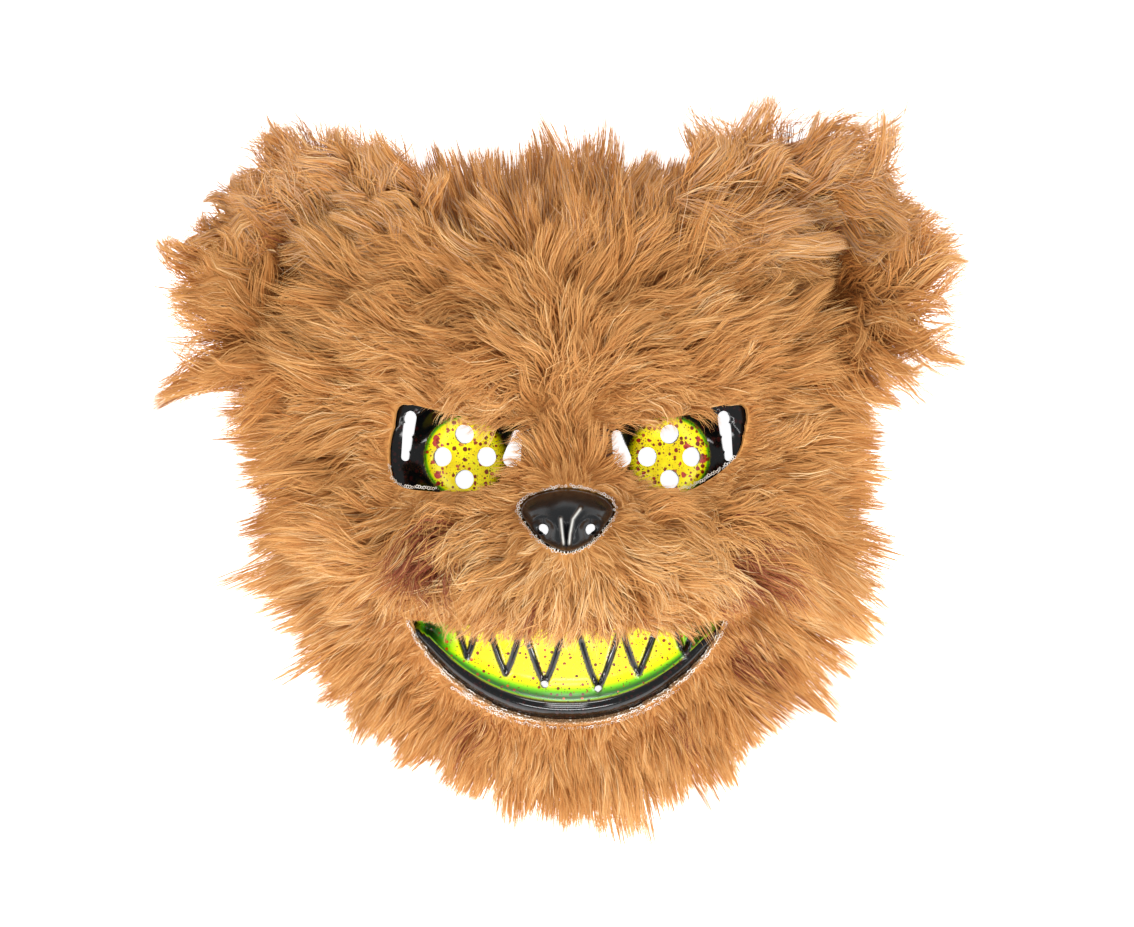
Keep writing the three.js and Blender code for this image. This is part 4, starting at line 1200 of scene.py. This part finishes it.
# %% Stains and density
STAINS = [
    # x mm, y mm, half-width, half-height, strength
    (-49, -24, 9, 10, 0.9), (60, -36, 8, 16, 0.85), (68, -66, 9, 14, 0.5), (-34, -92, 8, 6, 0.5),
    (42, -90, 8, 6, 0.5), (0, -46, 48, 6, 0.35), (-62, -44, 7, 9, 0.5),
]


def pile_tone(x, y, locks, wisps, generator, painted_light_shift=0.0):
    own, by_wisp, by_lock = (generator.standard_normal(len(x)) for _ in range(3))
    # painted_light_shift moves the shades up or down by place, as painted light and shade
    level = np.clip(0.47 + painted_light_shift + 0.18 * own + 0.1 * by_wisp[wisps] + 0.06 * by_lock[locks], 0.02, 0.98)
    stain = np.zeros(len(x))
    for sx, sy, wide, tall, strength in STAINS:
        stain = np.maximum(stain, strength * np.exp(-(((x - sx) / wide) ** 2) - ((y - sy) / tall) ** 2))
    stained = generator.random(len(x)) * 0.6 + 0.4 * generator.random(len(x))[wisps] < stain
    grey = generator.random(len(x)) < 0.35 * smooth((y - 70) / 40)
    return np.where(stained, 0.61 + 0.16 * level, np.where(grey, 0.81 + 0.18 * level, 0.08 + 0.49 * level))


def face_density(p, n):
    away = window_distance(p[:, 0], p[:, 1])
    bare_edge = np.where(p[:, 1] < -60, 1.4, 0.6)
    grown = (away > bare_edge) & (n[:, 2] > -0.3) & (p[:, 2] > 1.2)
    return np.where(grown, 1.0 + 0.9 * np.exp(-((away / 12) ** 2)), 0)


def outside_only(obj, count, density, generator):
    """Places on the outer side of the cloth only."""

    def outer(p, n):
        angle = np.arctan2(p[:, 1], p[:, 0])
        out = np.stack([np.cos(angle), np.sin(angle), np.full(len(p), 0.9)], 1)
        return density(p, n) * ((n * out).sum(1) > 0.1)

    return sample_surface(obj.data, count, outer, generator)


# %% [markdown]
# The pile is long on the cheeks and the brow, and clipped short near the windows, so that the eyes, nose and
# teeth show. It hangs over the upper lip as a fringe. At the rim its length follows the photograph's outline.

# %% Fur on the face
RIM_TRIM = [
    # degrees round the face, change of the pile's length at the rim in mm
    (0, -3), (40, 0), (68, 3), (76, -2), (84, 5), (93, 2), (100, -1), (107, 0), (120, 6), (165, 4), (175, 3),
    (181, -4), (195, 3), (201, -2), (208, -9), (215, -3), (222, -5), (235, -9), (248, -8), (260, -5), (270, 0),
    (280, -2), (290, -6), (300, -2), (313, -6), (325, -2), (340, 6), (350, -1), (356, -5), (360, -3),
]
rng = np.random.default_rng(29)
FACE_FIBRES = 71500
roots, normals = outside_only(backing, FACE_FIBRES, face_density, rng)
x, y = roots[:, 0], roots[:, 1]
away = window_distance(x, y)
eyes_away = np.minimum(polygon_distance(x, y, eye_left), polygon_distance(x, y, eye_right))
over_mouth = y - mouth_top(np.clip(x / 61, -1, 1))
fringe = smooth((16 - over_mouth) / 10) * (over_mouth > 0) * (np.abs(x) < 52)
around = np.degrees(np.arctan2(y, x)) % 360
from_rim = np.hypot(x, y) / rim_radius(np.radians(around))
lengths = 8 + 19 * smooth((away - 1) / 18) - 4 * smooth((y - 70) / 25)
lengths += np.interp(around, *np.array(RIM_TRIM, float).T) * smooth((from_rim - 0.6) / 0.3)
lengths = np.maximum(lengths, fringe * 12)
lengths = np.where((over_mouth > 0) & (np.abs(x) < 68), np.minimum(lengths, 7.6 + 0.9 * over_mouth), lengths)
at_corner = smooth((np.abs(x) - 43) / 9) * smooth((16 - over_mouth) / 8) * (over_mouth > 0) * (np.abs(x) < 72)
lengths = lengths * (1 - 0.8 * at_corner)
heading = nap_heading(x, y, NAP)
swirl = 0.25 * np.sin(x / 13 + 1.3) * np.sin(y / 17 + 0.4) + 0.18 * np.sin(x / 6.1 + y / 7.7)
heading = heading + swirl * smooth(away / 15)
over_eye = smooth((9 - eyes_away) / 6) * (y > EYE_Y + 3) * (np.abs(x) > 8) * smooth((56 - np.abs(x)) / 10)
toward_eye = np.where(x < 0, math.radians(196), math.radians(-16))
turn = np.angle(np.exp(1j * (toward_eye - heading)))
heading = heading + turn * over_eye
lengths = np.maximum(lengths, 14 * over_eye)
flow = np.stack([np.cos(heading), np.sin(heading), np.zeros(len(x))], 1)
over_lip = smooth((30 - over_mouth) / 14) * (over_mouth > 0) * (np.abs(x) < 60)
path, locks, wisps = grow(
    roots, normals, flow, lengths, rng, cloth_area, gather=0.5 - 0.3 * over_lip, unruly=1.0 + 0.5 * (y < -62)
)
# Painted light and shade: the shades are drawn lighter round the mouth and lower cheeks, and darker on the nose
# bridge and toward the crown
painted_light_shift = np.interp(y, [-62, -48, -30, -12, 8, 30, 60, 95], [0, 0.14, 0.14, 0.02, -0.04, 0, -0.08, -0.14])
painted_light_shift -= 0.1 * (np.abs(x) < 16) * (y > 0) * (y < 36)
tone = pile_tone(x, y, locks, wisps, rng, painted_light_shift)
width = rng.uniform(0.22, 0.46, FACE_FIBRES) * np.clip(lengths / 22, 0.6, 1)
AREAS = {
    "crown_pile": y > 64,
    "brow_pile": (y > 18) & (y <= 64),
    "left_cheek_pile": (x < -12) & (y <= 18) & (y > -56),
    "right_cheek_pile": (x > 12) & (y <= 18) & (y > -56),
    "muzzle_pile": (np.abs(x) <= 12) & (y <= 18) & (y > -56),
    "chin_pile": y <= -56,
}
for name, chosen in AREAS.items():
    # Painted shade at the fibres' roots, lighter on the muzzle than on the rest of the face
    root_shade = 0.5 if name == "muzzle_pile" else 0.28
    piece = ribbons(name, path[chosen], normals[chosen], width[chosen], tone[chosen], rng, root_shade)
    piece.data.materials.append(pile)
    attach(piece, "root")

# %% [markdown]
# The ears carry the longest pile, combed outward from a hollow whose fibres are short and painted darker as shade.

# %% Fur on the ears
EAR_NAP = {
    # x mm, y mm, degrees from +X
    "left": [
        (-93, 141, 115), (-110, 130, 130), (-130, 115, 143), (-147, 85, 150), (-149, 71, 160), (-144, 53, 172),
        (-138, 39, 192), (-76, 119, 108), (-88, 105, 138), (-113, 105, 150), (-93, 91, 172), (-93, 78, 195),
        (-110, 69, 105), (-123, 73, 130), (-138, 85, 135), (-121, 51, 186), (-104, 44, 200),
    ],
    "right": [
        (60, 138, 115), (75, 148, 88), (99, 144, 55), (117, 132, 32), (130, 128, 52), (138, 111, 35),
        (140, 85, 25), (145, 73, 5), (134, 53, -15), (130, 39, -38), (100, 115, -8), (117, 105, 0),
        (112, 89, 24), (89, 130, 25), (81, 104, -20), (114, 68, -62), (125, 79, 35), (93, 79, 25), (123, 62, -32),
    ],
}
EAR_TRIM = {
    # degrees round the ear's middle, change of length in mm
    "left": [
        (0, 0), (90, 4), (115, 0), (140, -7), (156, -12), (172, -9), (190, 0), (212, 6), (235, 8), (258, 12),
        (290, 4), (360, 0),
    ],
    "right": [
        (0, 6), (14, 2), (34, -8), (48, 2), (60, 9), (98, 7), (115, 6), (134, 6), (160, 6), (200, 0), (280, 2),
        (304, 9), (330, 4), (360, 3),
    ],
}
EAR_FIBRES = 18700
PILE_SHARE = 0.74  # of the whole pad's area, left after trimming and carrying pile
for side, whole_pad in whole_pads.items():
    middle, outward, hinge, lift = ear_frame(side)

    def ear_density(p, n):
        from_middle = p - middle
        inner = (from_middle @ outward) < -40
        angle, way = on_form(p[:, 0], p[:, 1])
        seated = (way < 1) & (p[:, 2] < skin_point(angle, way)[:, 2] + BACKING_LIFT + 0.8)
        return np.where(inner, 0.1, 1.0) * np.where(n @ lift > -0.2, 1.0, 0.4) * (p[:, 2] > 2) * ~seated

    roots, normals = sample_surface(whole_pad, EAR_FIBRES, ear_density, rng)
    pad_area = PILE_SHARE * sum(f.area for f in whole_pad.polygons) / MM / MM
    bpy.data.meshes.remove(whole_pad)
    heading = nap_heading(roots[:, 0], roots[:, 1], EAR_NAP[side])
    flow = np.stack([np.cos(heading), np.sin(heading), np.zeros(EAR_FIBRES)], 1)
    sign = 1 if side == "right" else -1
    hollow = np.hypot((roots[:, 0] - middle[0] - sign * 3) / 14, (roots[:, 1] - middle[1] + 14) / 27)
    hollow = (1 - smooth((hollow - 0.5) / 1.0)) * (normals @ lift > 0)
    radius = np.linalg.norm((roots - middle) - np.outer((roots - middle) @ lift, lift), axis=1)
    turn = np.degrees(np.arctan2(roots[:, 1] - middle[1], roots[:, 0] - middle[0])) % 360
    lengths = 32 - 9 * smooth((radius - 20) / 18) - 17 * hollow
    lengths += np.interp(turn, *np.array(EAR_TRIM[side], float).T) * smooth((radius - 18) / 14)
    path, locks, wisps = grow(
        roots, normals, flow, lengths, rng, pad_area, lock=11.0, wisp=2.4, stand=52, lie=6,
        unruly=0.8, gather=0.86, wave=0.12,
    )
    tone = pile_tone(roots[:, 0], roots[:, 1], locks, wisps, rng)
    # Painted shade: fibres in the ear's hollow are coloured darker, the brown ones most
    tone = tone * (1 - np.where(tone < 0.58, 0.95, 0.4) * hollow)
    width = rng.uniform(0.24, 0.46, EAR_FIBRES)
    # The ears' fibres also start from the darkest painted shade at their roots
    piece = ribbons(f"ear_pile_{side}", path, normals, width, tone, rng, root_shade=0.02)
    piece.data.materials.append(pile)
    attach(piece, "root")

# %% [markdown]
# The knitted backing is the cloth: a flat cut of 30 by 30 cm, stretched over the shell, and it carries the
# pile and the loops at its edges.

# %% Triangles in all
shown = [o for o in bpy.data.objects if o.type == "MESH" and not o.hide_render]
print("triangles in all", sum(len(f.vertices) - 2 for o in shown for f in o.data.polygons))
